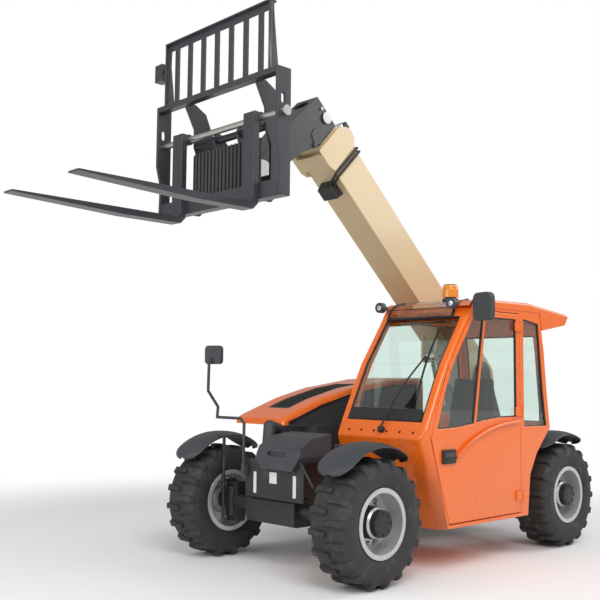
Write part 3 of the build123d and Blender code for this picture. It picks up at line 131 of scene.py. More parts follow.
class Paint:
    """A material under construction, with its own node tree."""

    def __init__(self, name):
        self.material = bpy.data.materials.new(name)
        self.material.use_nodes = True
        self.tree = self.material.node_tree
        self.shader = self.tree.nodes["Principled BSDF"]
        self.output = self.tree.nodes["Material Output"]

    def feed(self, slot, value):
        """Links a field to a socket, or sets the socket to a plain value."""
        if isinstance(value, Field):
            self.tree.links.new(value.socket, slot)
        elif slot.type == "RGBA":
            slot.default_value = (*value, 1) if len(value) == 3 else value
        else:
            slot.default_value = value

    def node(self, kind, settings=None, out=0, **sockets):
        """A new node, its settings first and then its sockets, by name or by identifier."""
        made = self.tree.nodes.new(kind)
        for key, value in (settings or {}).items():
            setattr(made, key, value)
        by_name = {s.name: s for s in reversed(made.inputs) if s.enabled}
        by_name.update({s.identifier: s for s in made.inputs})
        for key, value in sockets.items():
            self.feed(by_name[key], value)
        outlets = {s.identifier: s for s in made.outputs}
        return Field(self, outlets[out] if isinstance(out, str) else made.outputs[out])

    def place(self):
        """Where a point lies on the machine, in metres."""
        return self.node("ShaderNodeTexCoord", out=3)

    def noise(self, scale, detail=2.0, roughness=0.5):
        """Soft blotches, so many to the metre."""
        return self.node("ShaderNodeTexNoise", Vector=self.place(), Scale=scale, Detail=detail,
                         Roughness=roughness)

    def height(self):
        """The height of a point above the ground, in metres."""
        return self.node("ShaderNodeSeparateXYZ", out=2, Vector=self.place())

    def finish(self, bump=None, depth=0.001, **sockets):
        """Sets the shader's own sockets, and a bump of so many metres at most."""
        for key, value in sockets.items():
            self.feed(self.shader.inputs[key.replace("_", " ")], value)
        if bump is not None:
            normal = self.node("ShaderNodeBump", Height=bump, Distance=depth, Strength=1.0)
            self.feed(self.shader.inputs["Normal"], normal)


# the floor: matt white, and past its edge it is the backdrop's own white
bpy.ops.mesh.primitive_plane_add(size=60.0, location=(0, 0, -0.002))
floor = bpy.context.object
floor.name = "studio_floor"
cove = Paint("studio_white")
away = cove.node("ShaderNodeVectorMath", {"operation": "LENGTH"}, "Value", Vector=cove.place())
rays = cove.tree.nodes.new("ShaderNodeLightPath")
seen, glossed, passed = (
    Field(cove, rays.outputs[f"Is {kind} Ray"]) for kind in ("Camera", "Glossy", "Transmission")
)
shown = (seen + glossed + passed).math("MINIMUM", 1.0)
cove.finish(Base_Color=(0.93, 0.93, 0.93), Roughness=0.9)
glow = cove.node("ShaderNodeEmission", Color=(1, 1, 1), Strength=1.0)
blend = cove.node("ShaderNodeMixShader", Fac=away.ramp(3.2, 6.5) * shown)
cove.tree.links.new(cove.shader.outputs[0], blend.socket.node.inputs[1])
cove.tree.links.new(glow.socket, blend.socket.node.inputs[2])
cove.tree.links.new(blend.socket, cove.output.inputs["Surface"])
floor.data.materials.append(cove.material)

# the air round it: white where it is seen, and softer as a light
world = bpy.data.worlds.new("studio_air")
scene.world = world
world.use_nodes = True
sky = world.node_tree
sky_rays = sky.nodes.new("ShaderNodeLightPath")
direct = sky.nodes.new("ShaderNodeMath")
direct.operation = "MAXIMUM"
sky.links.new(sky_rays.outputs["Is Camera Ray"], direct.inputs[0])
sky.links.new(sky_rays.outputs["Is Transmission Ray"], direct.inputs[1])
strength = sky.nodes.new("ShaderNodeMapRange")
strength.inputs["To Min"].default_value = 0.42
strength.inputs["To Max"].default_value = 1.0
sky.links.new(direct.outputs[0], strength.inputs["Value"])
sky.links.new(strength.outputs[0], sky.nodes["Background"].inputs["Strength"])
sky.nodes["Background"].inputs["Color"].default_value = (1, 1, 1, 1)

# columns: name, where it hangs, what it points at, size, watts
for lamp_name, hung, aimed, span, watts in (
    ("key_lamp", (4.5, 6.5, 7.0), (0, 0, 1.0), 5.0, 500),
    ("fill_lamp", (8.0, -1.5, 4.5), (0, 0, 1.3), 5.0, 210),
    ("rim_lamp", (-6.5, 3.5, 6.0), (0, 0, 1.2), 5.0, 240),
):
    lamp = bpy.data.objects.new(lamp_name, bpy.data.lights.new(lamp_name, "AREA"))
    lamp.data.size = span
    lamp.data.energy = watts
    lamp.location = hung
    lamp.rotation_euler = (Vector(hung) - Vector(aimed)).to_track_quat("Z", "Y").to_euler()
    scene.collection.objects.link(lamp)

# ---- chassis ----------------------------------------------------------------------------------
# The frame, its side plates, the axles and the counterweight are welded steel in satin black.
# Plates keep their cut form, with their sharp edges dressed to a small radius.
slot_of = {part["node"]: part["material_slot"] for part in frame["record"]["subparts"]}
body_of = {node: shape["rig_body"] for node, shape in frame["nodes"].items()}


def link(name, mesh, paint):
    """A new object with one finish, at the origin."""
    made = bpy.data.objects.new(name, mesh)
    scene.collection.objects.link(made)
    made.data.materials.clear()
    made.data.materials.append(paint.material)
    return made


def apply_all(made):
    """Replaces a piece's mesh by what its modifiers make of it."""
    bpy.context.view_layer.update()
    seen_by = bpy.context.evaluated_depsgraph_get()
    made.data = bpy.data.meshes.new_from_object(made.evaluated_get(seen_by))
    made.modifiers.clear()


def shade(mesh, crease):
    """Shades a mesh smooth, except across edges sharper than the crease in degrees."""
    mesh.shade_smooth()
    mesh.set_sharp_from_angle(angle=math.radians(crease))


def ease_edges(form, width, crease=32.0):
    """Rounds the sharp edges that have room for it, as pressing and welding leave them."""
    roomy = {
        vert for vert in form.verts
        if all(edge.calc_length() > 2.4 * width for edge in vert.link_edges)
    }
    chosen = [
        edge for edge in form.edges
        if len(edge.link_faces) == 2 and edge.calc_face_angle() > math.radians(crease)
        and edge.verts[0] in roomy and edge.verts[1] in roomy
    ]
    bmesh.ops.bevel(form, geom=chosen, offset=width, segments=2, affect="EDGES", profile=0.5,
                    clamp_overlap=False, loop_slide=False)


def merged(node, flat_within):
    """A CAD node's form as joined flat faces; those within an angle in degrees become one."""
    form = bmesh.new()
    form.from_mesh(frame["nodes"][node].data)
    bmesh.ops.remove_doubles(form, verts=form.verts, dist=1e-5)
    bmesh.ops.dissolve_limit(form, angle_limit=math.radians(flat_within), verts=form.verts, edges=form.edges)
    return form


def coat(slot_name, paint):
    """Gives the CAD nodes of one slot their finish, and says which they are."""
    nodes = [node for node, given in slot_of.items() if given == slot_name]
    for node in nodes:
        for slot in frame["nodes"][node].material_slots:
            slot.material = paint.material
    return nodes


def dress(nodes, paint, easing=0.0025):
    """Stands each node's own form, its edges eased, in that node's place."""
    for node in nodes:
        form = merged(node, 0.6)
        ease_edges(form, easing)
        mesh = bpy.data.meshes.new(f"{node}_form")
        form.to_mesh(mesh)
        form.free()
        made = link(f"{node}_finished", mesh, paint)
        shade(mesh, 35.0)
        flatten = made.modifiers.new("flatten", "WEIGHTED_NORMAL")
        flatten.keep_sharp = True
        apply_all(made)
        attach(made, body_of[node])
        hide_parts(node)


black = Paint("chassis_spray")
dirt = black.noise(5.0, 5.0, 0.6).ramp(0.55, 0.85)
fresh = black.noise(3.0, 3.0).mix((0.014, 0.015, 0.017), (0.028, 0.029, 0.031))
black.finish(
    bump=black.noise(150.0, 3.0), depth=0.0002,
    Base_Color=dirt.mix(fresh, (0.085, 0.078, 0.068)),
    Roughness=black.noise(8.0, 4.0) * 0.25 + 0.38,
)
dress(coat("chassis_black", black), black)

# ---- tyres ------------------------------------------------------------------------------------
# Industrial traction tyres: a moulded rubber casing on the rim, with eighteen slanted lugs on
# each side that meet in a herringbone and run down over the shoulder.
corners = ("front_left", "front_right", "rear_left", "rear_right")
hubs = {corner: sum(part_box(f"tyre_{corner}"), Vector()) / 2 for corner in corners}
tyre_low, tyre_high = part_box("tyre_front_left")
half_tyre = (tyre_high.y - tyre_low.y) / 2
lugs = 18
lug_pitch = 2 * math.pi / lugs
# the casing's section from its bead to the crown, columns: from the middle, radius
casing = [
    (half_tyre - 0.0215, 0.2070), (half_tyre - 0.0215, 0.2340), (half_tyre - 0.0150, 0.2400),
    (half_tyre - 0.0075, 0.2620), (half_tyre - 0.0062, 0.2640), (half_tyre - 0.0050, 0.2690),
    (half_tyre - 0.0015, 0.2980), (half_tyre - 0.0002, 0.3060), (half_tyre, 0.3270),
    (half_tyre - 0.0008, 0.3300), (half_tyre - 0.0035, 0.3480), (half_tyre - 0.0080, 0.3620),
    (half_tyre - 0.0160, 0.3760), (half_tyre - 0.0280, 0.3860), (half_tyre - 0.0500, 0.3895),
    (0.0500, 0.3905), (0.0, 0.3905),
]
# a lug's stations from the tread's middle outwards, columns: from the middle, shift along the
# tread, half its width, the radius of its root, and of its top
lug_stations = (
    (-0.008, -0.008, 0.0150, 0.380, 0.4095), (0.000, -0.006, 0.0165, 0.380, 0.4135),
    (0.045, -0.003, 0.0180, 0.380, 0.4140), (0.085, 0.001, 0.0200, 0.380, 0.4140),
    (0.118, 0.000, 0.0225, 0.375, 0.4120), (0.136, -0.003, 0.0240, 0.362, 0.4040),
    (0.147, -0.005, 0.0235, 0.350, 0.3900), (0.1515, -0.006, 0.0215, 0.342, 0.3720),
)

rubber = Paint("tyre_rubber")
dusty = rubber.noise(11.0, 6.0, 0.65).ramp(0.5, 0.85)
fresh = rubber.noise(6.0, 4.0).mix((0.020, 0.020, 0.021), (0.038, 0.037, 0.036))
rubber.finish(
    bump=rubber.noise(120.0, 4.0, 0.6), depth=0.0006,
    Base_Color=dusty.mix(fresh, (0.10, 0.094, 0.084)),
    Roughness=rubber.noise(20.0, 3.0) * 0.18 + 0.62,
)
coat("tyre", rubber)


def add_turned(form, centre, axis, profile, sides=40):
    """Adds a turned solid, its profile's columns: how far along the axis, radius."""
    axis = Vector(axis).normalized()
    across = axis.orthogonal().normalized()
    third = axis.cross(across)
    rings = []
    for out, radius in profile:
        middle = Vector(centre) + axis * out
        if radius == 0:
            rings.append([form.verts.new(middle)])
            continue
        rings.append([
            form.verts.new(middle + radius * (math.cos(turn) * across + math.sin(turn) * third))
            for turn in (2 * math.pi * step / sides for step in range(sides))
        ])
    for near, far in zip(rings, rings[1:]):
        for step in range(sides):
            after = (step + 1) % sides
            if len(near) == 1:
                form.faces.new((near[0], far[step], far[after]))
            elif len(far) == 1:
                form.faces.new((near[step], far[0], near[after]))
            else:
                form.faces.new((near[step], far[step], far[after], near[after]))


def finish_form(name, form, body, paint, width=0.0, crease=35.0):
    """Turns a mesh under construction into a finished piece that rides on a body."""
    bmesh.ops.recalc_face_normals(form, faces=form.faces)
    if width:
        ease_edges(form, width)
    mesh = bpy.data.meshes.new(name)
    form.to_mesh(mesh)
    form.free()
    made = link(name, mesh, paint)
    shade(mesh, crease)
    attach(made, body)
    return made


# A row or a ring of one form: each copy stands a step further on and turns a step more.
set_out = bpy.data.node_groups.new("set_out", "GeometryNodeTree")
set_out.interface.new_socket("Geometry", in_out="OUTPUT", socket_type="NodeSocketGeometry")
for label, kind in (
    ("Form", "NodeSocketObject"), ("Count", "NodeSocketInt"), ("Start", "NodeSocketVector"),
    ("Step", "NodeSocketVector"), ("First turn", "NodeSocketVector"), ("Turn", "NodeSocketVector"),
    ("Finish", "NodeSocketMaterial"),
):
    set_out.interface.new_socket(label, in_out="INPUT", socket_type=kind)
given, result, places, form_read, copies, number, turned, solid, finish_set = (
    set_out.nodes.new(kind) for kind in (
        "NodeGroupInput", "NodeGroupOutput", "GeometryNodeMeshLine", "GeometryNodeObjectInfo",
        "GeometryNodeInstanceOnPoints", "GeometryNodeInputIndex", "ShaderNodeVectorMath",
        "GeometryNodeRealizeInstances", "GeometryNodeSetMaterial",
    )
)
turned.operation = "MULTIPLY_ADD"
for outlet, inlet in (
    (given.outputs["Form"], form_read.inputs["Object"]),
    (given.outputs["Count"], places.inputs["Count"]),
    (given.outputs["Start"], places.inputs["Start Location"]),
    (given.outputs["Step"], places.inputs["Offset"]),
    (places.outputs["Mesh"], copies.inputs["Points"]),
    (form_read.outputs["Geometry"], copies.inputs["Instance"]),
    (given.outputs["Turn"], turned.inputs[0]),
    (number.outputs["Index"], turned.inputs[1]),
    (given.outputs["First turn"], turned.inputs[2]),
    (turned.outputs["Vector"], copies.inputs["Rotation"]),
    (copies.outputs["Instances"], solid.inputs["Geometry"]),
    (solid.outputs["Geometry"], finish_set.inputs["Geometry"]),
    (given.outputs["Finish"], finish_set.inputs["Material"]),
    (finish_set.outputs["Geometry"], result.inputs["Geometry"]),
):
    set_out.links.new(outlet, inlet)
socket_named = {item.name: item.identifier for item in set_out.interface.items_tree if item.in_out == "INPUT"}


def repeat(name, form, paint, count, body, start,
           step=(0, 0, 0), first=(0, 0, 0), turn=(0, 0, 0), crease=35.0):
    """Sets out a form in a row or a ring, as one piece that rides on a body."""
    bmesh.ops.recalc_face_normals(form, faces=form.faces)
    mesh = bpy.data.meshes.new(f"{name}_form")
    form.to_mesh(mesh)
    form.free()
    pattern = link(f"{name}_pattern", mesh, paint)
    made = link(name, bpy.data.meshes.new(name), paint)
    tree = made.modifiers.new("set_out", "NODES")
    tree.node_group = set_out
    inputs = {"Form": pattern, "Count": count, "Start": start, "Step": step, "First turn": first,
              "Turn": turn, "Finish": paint.material}
    for label, value in inputs.items():
        tree[socket_named[label]] = value
    apply_all(made)
    shade(made.data, crease)
    bpy.data.objects.remove(pattern)
    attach(made, body)


for corner in corners:
    form = bmesh.new()
    section = casing + [(-out, radius) for out, radius in reversed(casing[:-1])]
    add_turned(form, hubs[corner], (0, 1, 0), section + section[:1], sides=96)
    bmesh.ops.remove_doubles(form, verts=form.verts, dist=1e-6)
    tyre = finish_form(f"tyre_casing_{corner}", form, f"wheel_{corner}", rubber, crease=50)
    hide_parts(f"tyre_{corner}")
    for side, hand in (("left", 1), ("right", -1)):
        form = bmesh.new()
        rows = [
            [
                form.verts.new((radius, hand * out, shift + edge * half))
                for edge, radius in ((-1.12, root), (-0.86, top), (0.86, top), (1.12, root))
            ]
            for out, shift, half, root, top in lug_stations
        ]
        for near, far in zip(rows, rows[1:]):
            for step in range(4):
                after = (step + 1) % 4
                form.faces.new((near[step], near[after], far[after], far[step]))
        form.faces.new(rows[0])
        form.faces.new(rows[-1][::-1])
        bmesh.ops.recalc_face_normals(form, faces=form.faces)
        ease_edges(form, 0.0032)
        repeat(f"tyre_lugs_{corner}_{side}", form, rubber, lugs, f"wheel_{corner}",
               start=hubs[corner], first=(0, -hand * lug_pitch / 4, 0), turn=(0, -lug_pitch, 0))

# ---- rims and hubs ----------------------------------------------------------------------------
# The rims are pressed steel in satin silver. A planetary hub stands out through each: a dark cast
# drum with a bolted cover, and a ring of plated nuts that holds the rim's disc.
drum_radius = 0.1062

silver = Paint("rim_silver")
dusty = silver.noise(18.0, 5.0, 0.7).ramp(0.6, 0.85)
fresh = silver.noise(9.0, 3.0).mix((0.50, 0.51, 0.525), (0.62, 0.63, 0.64))
silver.finish(
    bump=silver.noise(340.0, 2.0), depth=0.0001,
    Base_Color=dusty.mix(fresh, (0.34, 0.32, 0.29)),
    Roughness=silver.noise(16.0, 3.0) * 0.16 + 0.28, Metallic=0.55,
)
dress(coat("rim_silver", silver), silver)

zinc = Paint("zinc_plate")
zinc.finish(
    bump=zinc.noise(400.0, 2.0), depth=0.0001,
    Base_Color=zinc.noise(20.0, 4.0).mix((0.44, 0.43, 0.40), (0.60, 0.59, 0.56)),
    Roughness=zinc.noise(35.0, 3.0) * 0.2 + 0.26, Metallic=1.0,
)

for corner in corners:
    hand = 1 if corner.endswith("left") else -1
    hub = hubs[corner]
    rim_low, rim_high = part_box(f"rim_{corner}")
    nose = rim_high.y - hub.y if hand > 0 else hub.y - rim_low.y
    form = bmesh.new()
    add_turned(form, hub, (0, hand, 0), [
        (0.0, 0), (0.0, drum_radius), (0.083, drum_radius), (0.088, drum_radius - 0.0027),
        (0.0895, 0.0900), (nose + 0.0010, 0.0862), (nose + 0.0030, 0.0820), (nose + 0.0030, 0.0300),
        (nose + 0.0060, 0.0270), (nose + 0.0060, 0),
    ], sides=48)
    finish_form(f"hub_drum_{corner}", form, f"wheel_{corner}", black)
    # columns: name, how many, the ring's radius, how far out, radius, height, finish, slot
    for label, count, ring, out, radius, tall, paint, slot_name in (
        ("nuts", 10, 0.1380, 0.008, 0.0125, 0.019, zinc, "zinc"),
        ("cover_bolts", 8, 0.0700, nose + 0.003, 0.0075, 0.006, black, "chassis_black"),
    ):
        form = bmesh.new()
        add_turned(form, (0, hand * out, ring), (0, hand, 0), [
            (0, 0), (0, radius * 1.5), (tall * 0.12, radius * 1.5), (tall * 0.14, radius * 1.12),
            (tall * 0.9, radius * 1.12), (tall, radius * 0.95), (tall, 0),
        ], sides=6)
        repeat(f"hub_{label}_{corner}", form, paint, count, f"wheel_{corner}",
               start=hub, turn=(0, 2 * math.pi / count, 0), crease=25)

# ---- mudguards and mouldings ------------------------------------------------------------------
# Each mudguard is a crowned paddle of dark grey polyethylene with rounded ends, which turns with
# its wheel on a bar from the knuckle. The nose cover, mirrors and trim are the same moulding.
moulded = Paint("dark_moulding")
moulded.finish(
    bump=moulded.noise(900.0, 3.0, 0.7), depth=0.0004,
    Base_Color=moulded.noise(4.0, 3.0).mix((0.040, 0.044, 0.050), (0.060, 0.065, 0.072)),
    Roughness=moulded.noise(30.0, 3.0) * 0.15 + 0.42, Specular_IOR_Level=0.4,
)
mouldings = coat("dark_plastic", moulded) + coat("cab_grey", moulded) + coat("engine_grey", moulded)
dress([node for node in mouldings if not node.startswith("fender")], moulded)

guard_wall = 0.007
# where a mudguard starts and ends round its wheel, in degrees above forward
guard_span = {"front": (41.0, 130.0), "rear": (52.0, 125.0)}
guard_rows, guard_columns = 40, 18
for corner in corners:
    hub = hubs[corner]
    low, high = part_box(f"fender_{corner}")
    guard_radius = high.z - hub.z
    first, last = (math.radians(angle) for angle in guard_span[corner.split("_")[0]])
    length = guard_radius * (last - first)
    width = high.y - low.y
    rounding = 0.42 * width
    form = bmesh.new()
    rows = []
    for row in range(guard_rows + 1):
        # rows lie closer together towards the rounded ends
        along = math.sin(math.pi / 2 * (2 * row / guard_rows - 1))
        past = max(0.0, abs(along) * length / 2 - (length / 2 - rounding))
        half = width / 2 - rounding + math.sqrt(max(0.0, rounding**2 - past**2))
        angle = (first + last) / 2 + along * length / 2 / guard_radius
        line = []
        for column in range(guard_columns + 1):
            aside = 2 * column / guard_columns - 1
            radius = guard_radius - 0.001 - 0.026 * abs(aside) ** 2.6 - 0.012 * abs(along) ** 4
            line.append(form.verts.new((
                hub.x + radius * math.cos(angle), (low.y + high.y) / 2 + aside * half,
                hub.z + radius * math.sin(angle),
            )))
        rows.append(line)
    for near, far in zip(rows, rows[1:]):
        for column in range(guard_columns):
            form.faces.new((near[column], near[column + 1], far[column + 1], far[column]))
    bmesh.ops.recalc_face_normals(form, faces=form.faces)
    if sum(face.normal.z for face in form.faces) < 0:
        bmesh.ops.reverse_faces(form, faces=form.faces)
    mesh = bpy.data.meshes.new("mudguard")
    form.to_mesh(mesh)
    form.free()
    guard = link(f"mudguard_{corner}", mesh, moulded)
    wall = guard.modifiers.new("wall", "SOLIDIFY")
    wall.thickness = guard_wall
    wall.offset = -1
    lip = guard.modifiers.new("lip", "BEVEL")
    lip.width = 0.4 * guard_wall
    lip.segments = 2
    lip.limit_method = "ANGLE"
    lip.angle_limit = math.radians(50)
    apply_all(guard)
    shade(guard.data, 50)
    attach(guard, body_of[f"fender_{corner}"])
    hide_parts(f"fender_{corner}")

# ---- cab and hood panels ----------------------------------------------------------------------
# Cab, door, roof and hood are pressed steel with folded edges, sprayed in gloss orange. The spray
# leaves a faint ripple, and road dust dulls the lowest panels.
fold_radius = 0.006
orange = Paint("orange_spray")
low_down = (orange.height() * -1.6 + 1.2).math("MAXIMUM", 0.0)
dusty = (orange.noise(3.0, 4.0) * low_down * 0.22).math("MINIMUM", 0.4)
fresh = orange.noise(1.3, 2.0).mix((0.84, 0.142, 0.008), (0.91, 0.172, 0.012))
orange.finish(
    bump=orange.noise(260.0, 2.0), depth=0.00012,
    Base_Color=dusty.mix(fresh, (0.40, 0.22, 0.12)),
    Roughness=orange.noise(14.0, 3.0) * 0.12 + 0.22, Coat_Weight=0.4, Coat_Roughness=0.08,
)
dress(coat("body_orange", orange), orange, fold_radius)

# ---- windows ----------------------------------------------------------------------------------
# The cab is glazed with toughened glass with a faint green tint. Black rubber holds every pane: a
# round-backed strip that runs along the pane's edge.
pane = Paint("green_glass")
pane.finish(
    Base_Color=pane.noise(2.0, 1.0).mix((0.80, 0.90, 0.86), (0.84, 0.93, 0.89)),
    Roughness=0.0, IOR=1.45, Transmission_Weight=1.0,
)
seal = Paint("window_rubber")
seal.finish(
    bump=seal.noise(500.0, 2.0), depth=0.0002,
    Base_Color=seal.noise(20.0, 2.0).mix((0.010, 0.010, 0.011), (0.022, 0.022, 0.023)),
    Roughness=seal.noise(30.0, 2.0) * 0.1 + 0.5,
)


def add_pipe(form, points, radius, sides=12, smooth=8):
    """Adds a round pipe along a smooth line through its points."""
    points = [Vector(point) for point in points]
    line = [points[0]]
    ends = [points[0], *points, points[-1]]
    for a, b, c, d in zip(ends, ends[1:], ends[2:], ends[3:]):
        for step in range(1, smooth + 1):
            t = step / smooth
            bend = (2 * a - 5 * b + 4 * c - d) * t**2 + (3 * b - a - 3 * c + d) * t**3
            line.append(0.5 * (2 * b + (c - a) * t + bend))
    across = (line[1] - line[0]).orthogonal().normalized()
    rings = []
    for step, point in enumerate(line):
        onward = (line[min(step + 1, len(line) - 1)] - line[max(step - 1, 0)]).normalized()
        across = (across - onward * across.dot(onward)).normalized()
        third = onward.cross(across)
        rings.append([
            form.verts.new(point + radius * (math.cos(turn) * across + math.sin(turn) * third))
            for turn in (2 * math.pi * side / sides for side in range(sides))
        ])
    for near, far in zip(rings, rings[1:]):
        for side in range(sides):
            after = (side + 1) % sides
            form.faces.new((near[side], far[side], far[after], near[after]))
    form.faces.new(rings[0][::-1])
    form.faces.new(rings[-1])


strip_radius, strip_overlap = 0.0085, 0.003
for node in coat("window_glass", pane):
    form = merged(node, 1.0)
    edges = [
        [vert.co.copy() for vert in edge.verts] for edge in form.edges
        if len(edge.link_faces) == 2 and edge.calc_face_angle() > math.radians(60)
        and edge.calc_length() > 0.0065
    ]
    form.free()
    form = bmesh.new()
    for start, end in edges:
        run = (end - start).normalized() * strip_overlap
        add_pipe(form, [start - run, end + run], strip_radius, sides=8, smooth=1)
    finish_form(f"{node}_rubber", form, body_of[node], seal, crease=60)

# ---- windscreen band and wiper ----------------------------------------------------------------
# A black band hides the bond along the windscreen's foot. A single wiper swings from a boss on
# the panel below it: a bent steel arm that holds a long rubber blade.
ground = sum(hubs.values(), Vector()) / 4
ground.z = 0
# the windscreen's line from its foot to its head, columns: along, height
screen_line = ((0.705, 1.046), (0.572, 1.311), (0.496, 1.454), (0.392, 1.601), (0.274, 1.768))
band_low, band_high = 1.052, 1.130
band_left, band_right = 0.828, 0.165


def spot(along, across, height):
    """A point of the machine, measured from the ground under the middle of its wheels."""
    return ground + Vector((along, across, height))


def on_screen(across, height, stand):
    """A point over the windscreen, and how far it stands off the glass."""
    for (x0, z0), (x1, z1) in zip(screen_line, screen_line[1:]):
        if height <= z1:
            part = (height - z0) / (z1 - z0)
            off = Vector((z1 - z0, 0, x0 - x1)).normalized() * stand
            return spot(x0 + (x1 - x0) * part, across, height) + off


def add_plate(form, outline, thickness):
    """Adds a flat plate: its outline's points, and the vector of its thickness."""
    near = [form.verts.new(Vector(point)) for point in outline]
    far = [form.verts.new(Vector(point) + Vector(thickness)) for point in outline]
    form.faces.new(near)
    form.faces.new(far[::-1])
    for step in range(len(near)):
        after = (step + 1) % len(near)
        form.faces.new((near[after], near[step], far[step], far[after]))


form = bmesh.new()
add_plate(form, [
    on_screen(across, height, 0.0075)
    for across, height in (
        (band_right, band_low), (band_left, band_low), (band_left, band_high), (band_right, band_high),
    )
], (-0.003, 0, -0.0015))
finish_form("windscreen_band", form, "chassis", seal)

arm_radius, blade_radius, clip_radius = 0.0065, 0.0075, 0.008
blade_stand, elbow_stand = 0.020, 0.045
form = bmesh.new()
boss = spot(0.735, 0.51, 0.985)
add_turned(form, boss, (0.95, 0, 0.31),
           [(-0.02, 0), (-0.02, 0.024), (0.022, 0.024), (0.028, 0.018), (0.03, 0)], sides=24)
elbow = on_screen(0.73, 1.480, elbow_stand)
bow = boss + (elbow - boss) * 0.5 + Vector((0.040, 0, 0.02))
add_pipe(form, [boss + Vector((0.02, 0, 0.01)), bow, elbow], arm_radius, sides=8, smooth=6)
# columns: across, height
blade = [
    on_screen(across, height, blade_stand)
    for across, height in ((0.75, 1.197), (0.735, 1.450), (0.72, 1.700))
]
add_pipe(form, blade, blade_radius, sides=8, smooth=8)
add_pipe(form, [elbow, blade[1] + Vector((0.004, 0, 0.01))], clip_radius, sides=8, smooth=2)
finish_form("wiper", form, "chassis", seal)

# ---- cab fastenings ---------------------------------------------------------------------------
# A row of small black dome-headed steel screws holds the panel below the windscreen. Each is
# turned square to that panel's slope.
screws, screw_pitch = 6, 0.118
form = bmesh.new()
add_turned(form, (0, 0, 0), (0.957, 0, 0.29),
           [(-0.004, 0), (-0.004, 0.009), (0.003, 0.0085), (0.006, 0.005), (0.0068, 0)], sides=10)
repeat("front_panel_screws", form, seal, screws, "chassis",
       start=spot(0.7345, 0.20, 0.975), step=(0, screw_pitch, 0))

# ---- door fittings ----------------------------------------------------------------------------
# The door opens by a black moulded paddle in a recessed cup. A crease pressed in its panel sweeps
# up from the handle to the hinge side, and stiffens the sheet.
door_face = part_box("door")[1].y


def add_block(form, centre, size, lean=None):
    """Adds a box about its centre, leaned by a matrix where it is given."""
    made = bmesh.ops.create_cube(form, size=1.0)
    turn = lean or Matrix.Identity(3)
    for vert in made["verts"]:
        vert.co = Vector(centre) + turn @ Vector([a * b for a, b in zip(vert.co, size)])


cup_size, cup_sunk = (0.152, 0.016, 0.098), 0.018
paddle_size = (0.118, 0.012, 0.034)
crease_radius, crease_sunk = 0.011, 0.0085

cup = spot(0.485, 0, 0.808)
cup.y = door_face - cup_sunk
form = bmesh.new()
add_block(form, cup, cup_size)
finish_form("handle_cup", form, "door", seal, width=0.006)
form = bmesh.new()
add_block(form, cup + Vector((0.006, 0.010, 0.012)), paddle_size)
finish_form("handle_paddle", form, "door", moulded, width=0.004)

# columns: along, height
crease = [(ground.x + along, door_face - crease_sunk, height) for along, height in (
    (0.405, 0.800), (0.250, 0.892), (0.125, 0.941), (-0.016, 0.983), (-0.200, 1.015), (-0.400, 1.031),
)]
form = bmesh.new()
add_pipe(form, crease, crease_radius, sides=16, smooth=6)
finish_form("door_crease", form, "door", orange)

# ---- seat -------------------------------------------------------------------------------------
# The driver's seat is a pair of foam cushions in black woven cloth. Each is blown up a little
# from a slightly smaller block, so that its faces crown and its sides pull in.
seat_cloth = Paint("seat_cloth")
seat_cloth.finish(
    bump=seat_cloth.noise(600.0, 2.0), depth=0.0005,
    Base_Color=seat_cloth.noise(30.0, 3.0).mix((0.018, 0.018, 0.02), (0.035, 0.035, 0.038)),
    Roughness=0.9,
)
coat("seat_fabric", seat_cloth)
puff_frames, puff_pressure, corner_radius = 20, 4.0, 0.022


def cushion(name, outline, thickness, cap):
    """A padded form from a flat outline, blown up by no more than a cap."""
    form = bmesh.new()
    add_plate(form, outline, thickness)
    bmesh.ops.recalc_face_normals(form, faces=form.faces)
    mesh = bpy.data.meshes.new(name)
    form.to_mesh(mesh)
    form.free()
    made = link(name, mesh, seat_cloth)
    soften = made.modifiers.new("soften", "BEVEL")
    soften.width = corner_radius
    soften.segments = 3
    voxels = made.modifiers.new("voxels", "REMESH")
    voxels.mode = "VOXEL"
    voxels.voxel_size = 0.006
    apply_all(made)
    shade(made.data, 180)
    rest = [vert.co.copy() for vert in made.data.vertices]
    puff = made.modifiers.new("puff", "CLOTH")
    puff.settings.use_pressure = True
    puff.settings.uniform_pressure_force = puff_pressure
    puff.settings.effector_weights.gravity = 0
    puff.point_cache.frame_start = 1
    puff.point_cache.frame_end = puff_frames
    for step in range(1, puff_frames + 1):
        scene.frame_set(step)
        bpy.context.view_layer.update()
    apply_all(made)
    shade(made.data, 180)
    scene.frame_set(1)
    for vert, start in zip(made.data.vertices, rest):
        moved = vert.co - start
        vert.co = start + moved * min(1.0, cap / max(moved.length, 1e-9))
    smooth = made.modifiers.new("smooth", "SUBSURF")
    smooth.levels = smooth.render_levels = 1
    apply_all(made)
    shade(made.data, 180)
    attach(made, "chassis")
    return made


# room is left all round for the cushions to swell into
inset = 0.022
base_thickness, base_swell = (0, 0, 0.092), 0.024
back_thickness, back_swell = (-0.070, 0, -0.010), 0.022
seat_low, seat_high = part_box("seat")
middle = (seat_low.y + seat_high.y) / 2

back, front = seat_low.x + inset + 0.045, seat_high.x - inset
near_side, far_side = seat_low.y + inset, seat_high.y - inset
underside = seat_low.z + 0.010
base = cushion("seat_base", [
    (back, near_side, underside), (front, near_side, underside),
    (front, far_side, underside), (back, far_side, underside),
], base_thickness, base_swell)
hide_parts("seat")

foot = Vector((seat_low.x + 0.125, 0, seat_low.z + 0.135))
head = Vector((seat_low.x + 0.050, 0, seat_high.z - inset))
rising = (head - foot).normalized()
half_back = (seat_high.y - seat_low.y) / 2 - inset - 0.004
# from the foot to the narrower head, columns: place, half the width there
back_line = [(foot, half_back), (foot + rising * 0.30, half_back), (head - rising * 0.03, half_back * 0.84)]
cushion(
    "seat_back",
    [(point.x, middle - half, point.z) for point, half in back_line]
    + [(point.x, middle + half, point.z) for point, half in reversed(back_line)],
    back_thickness, back_swell,
)

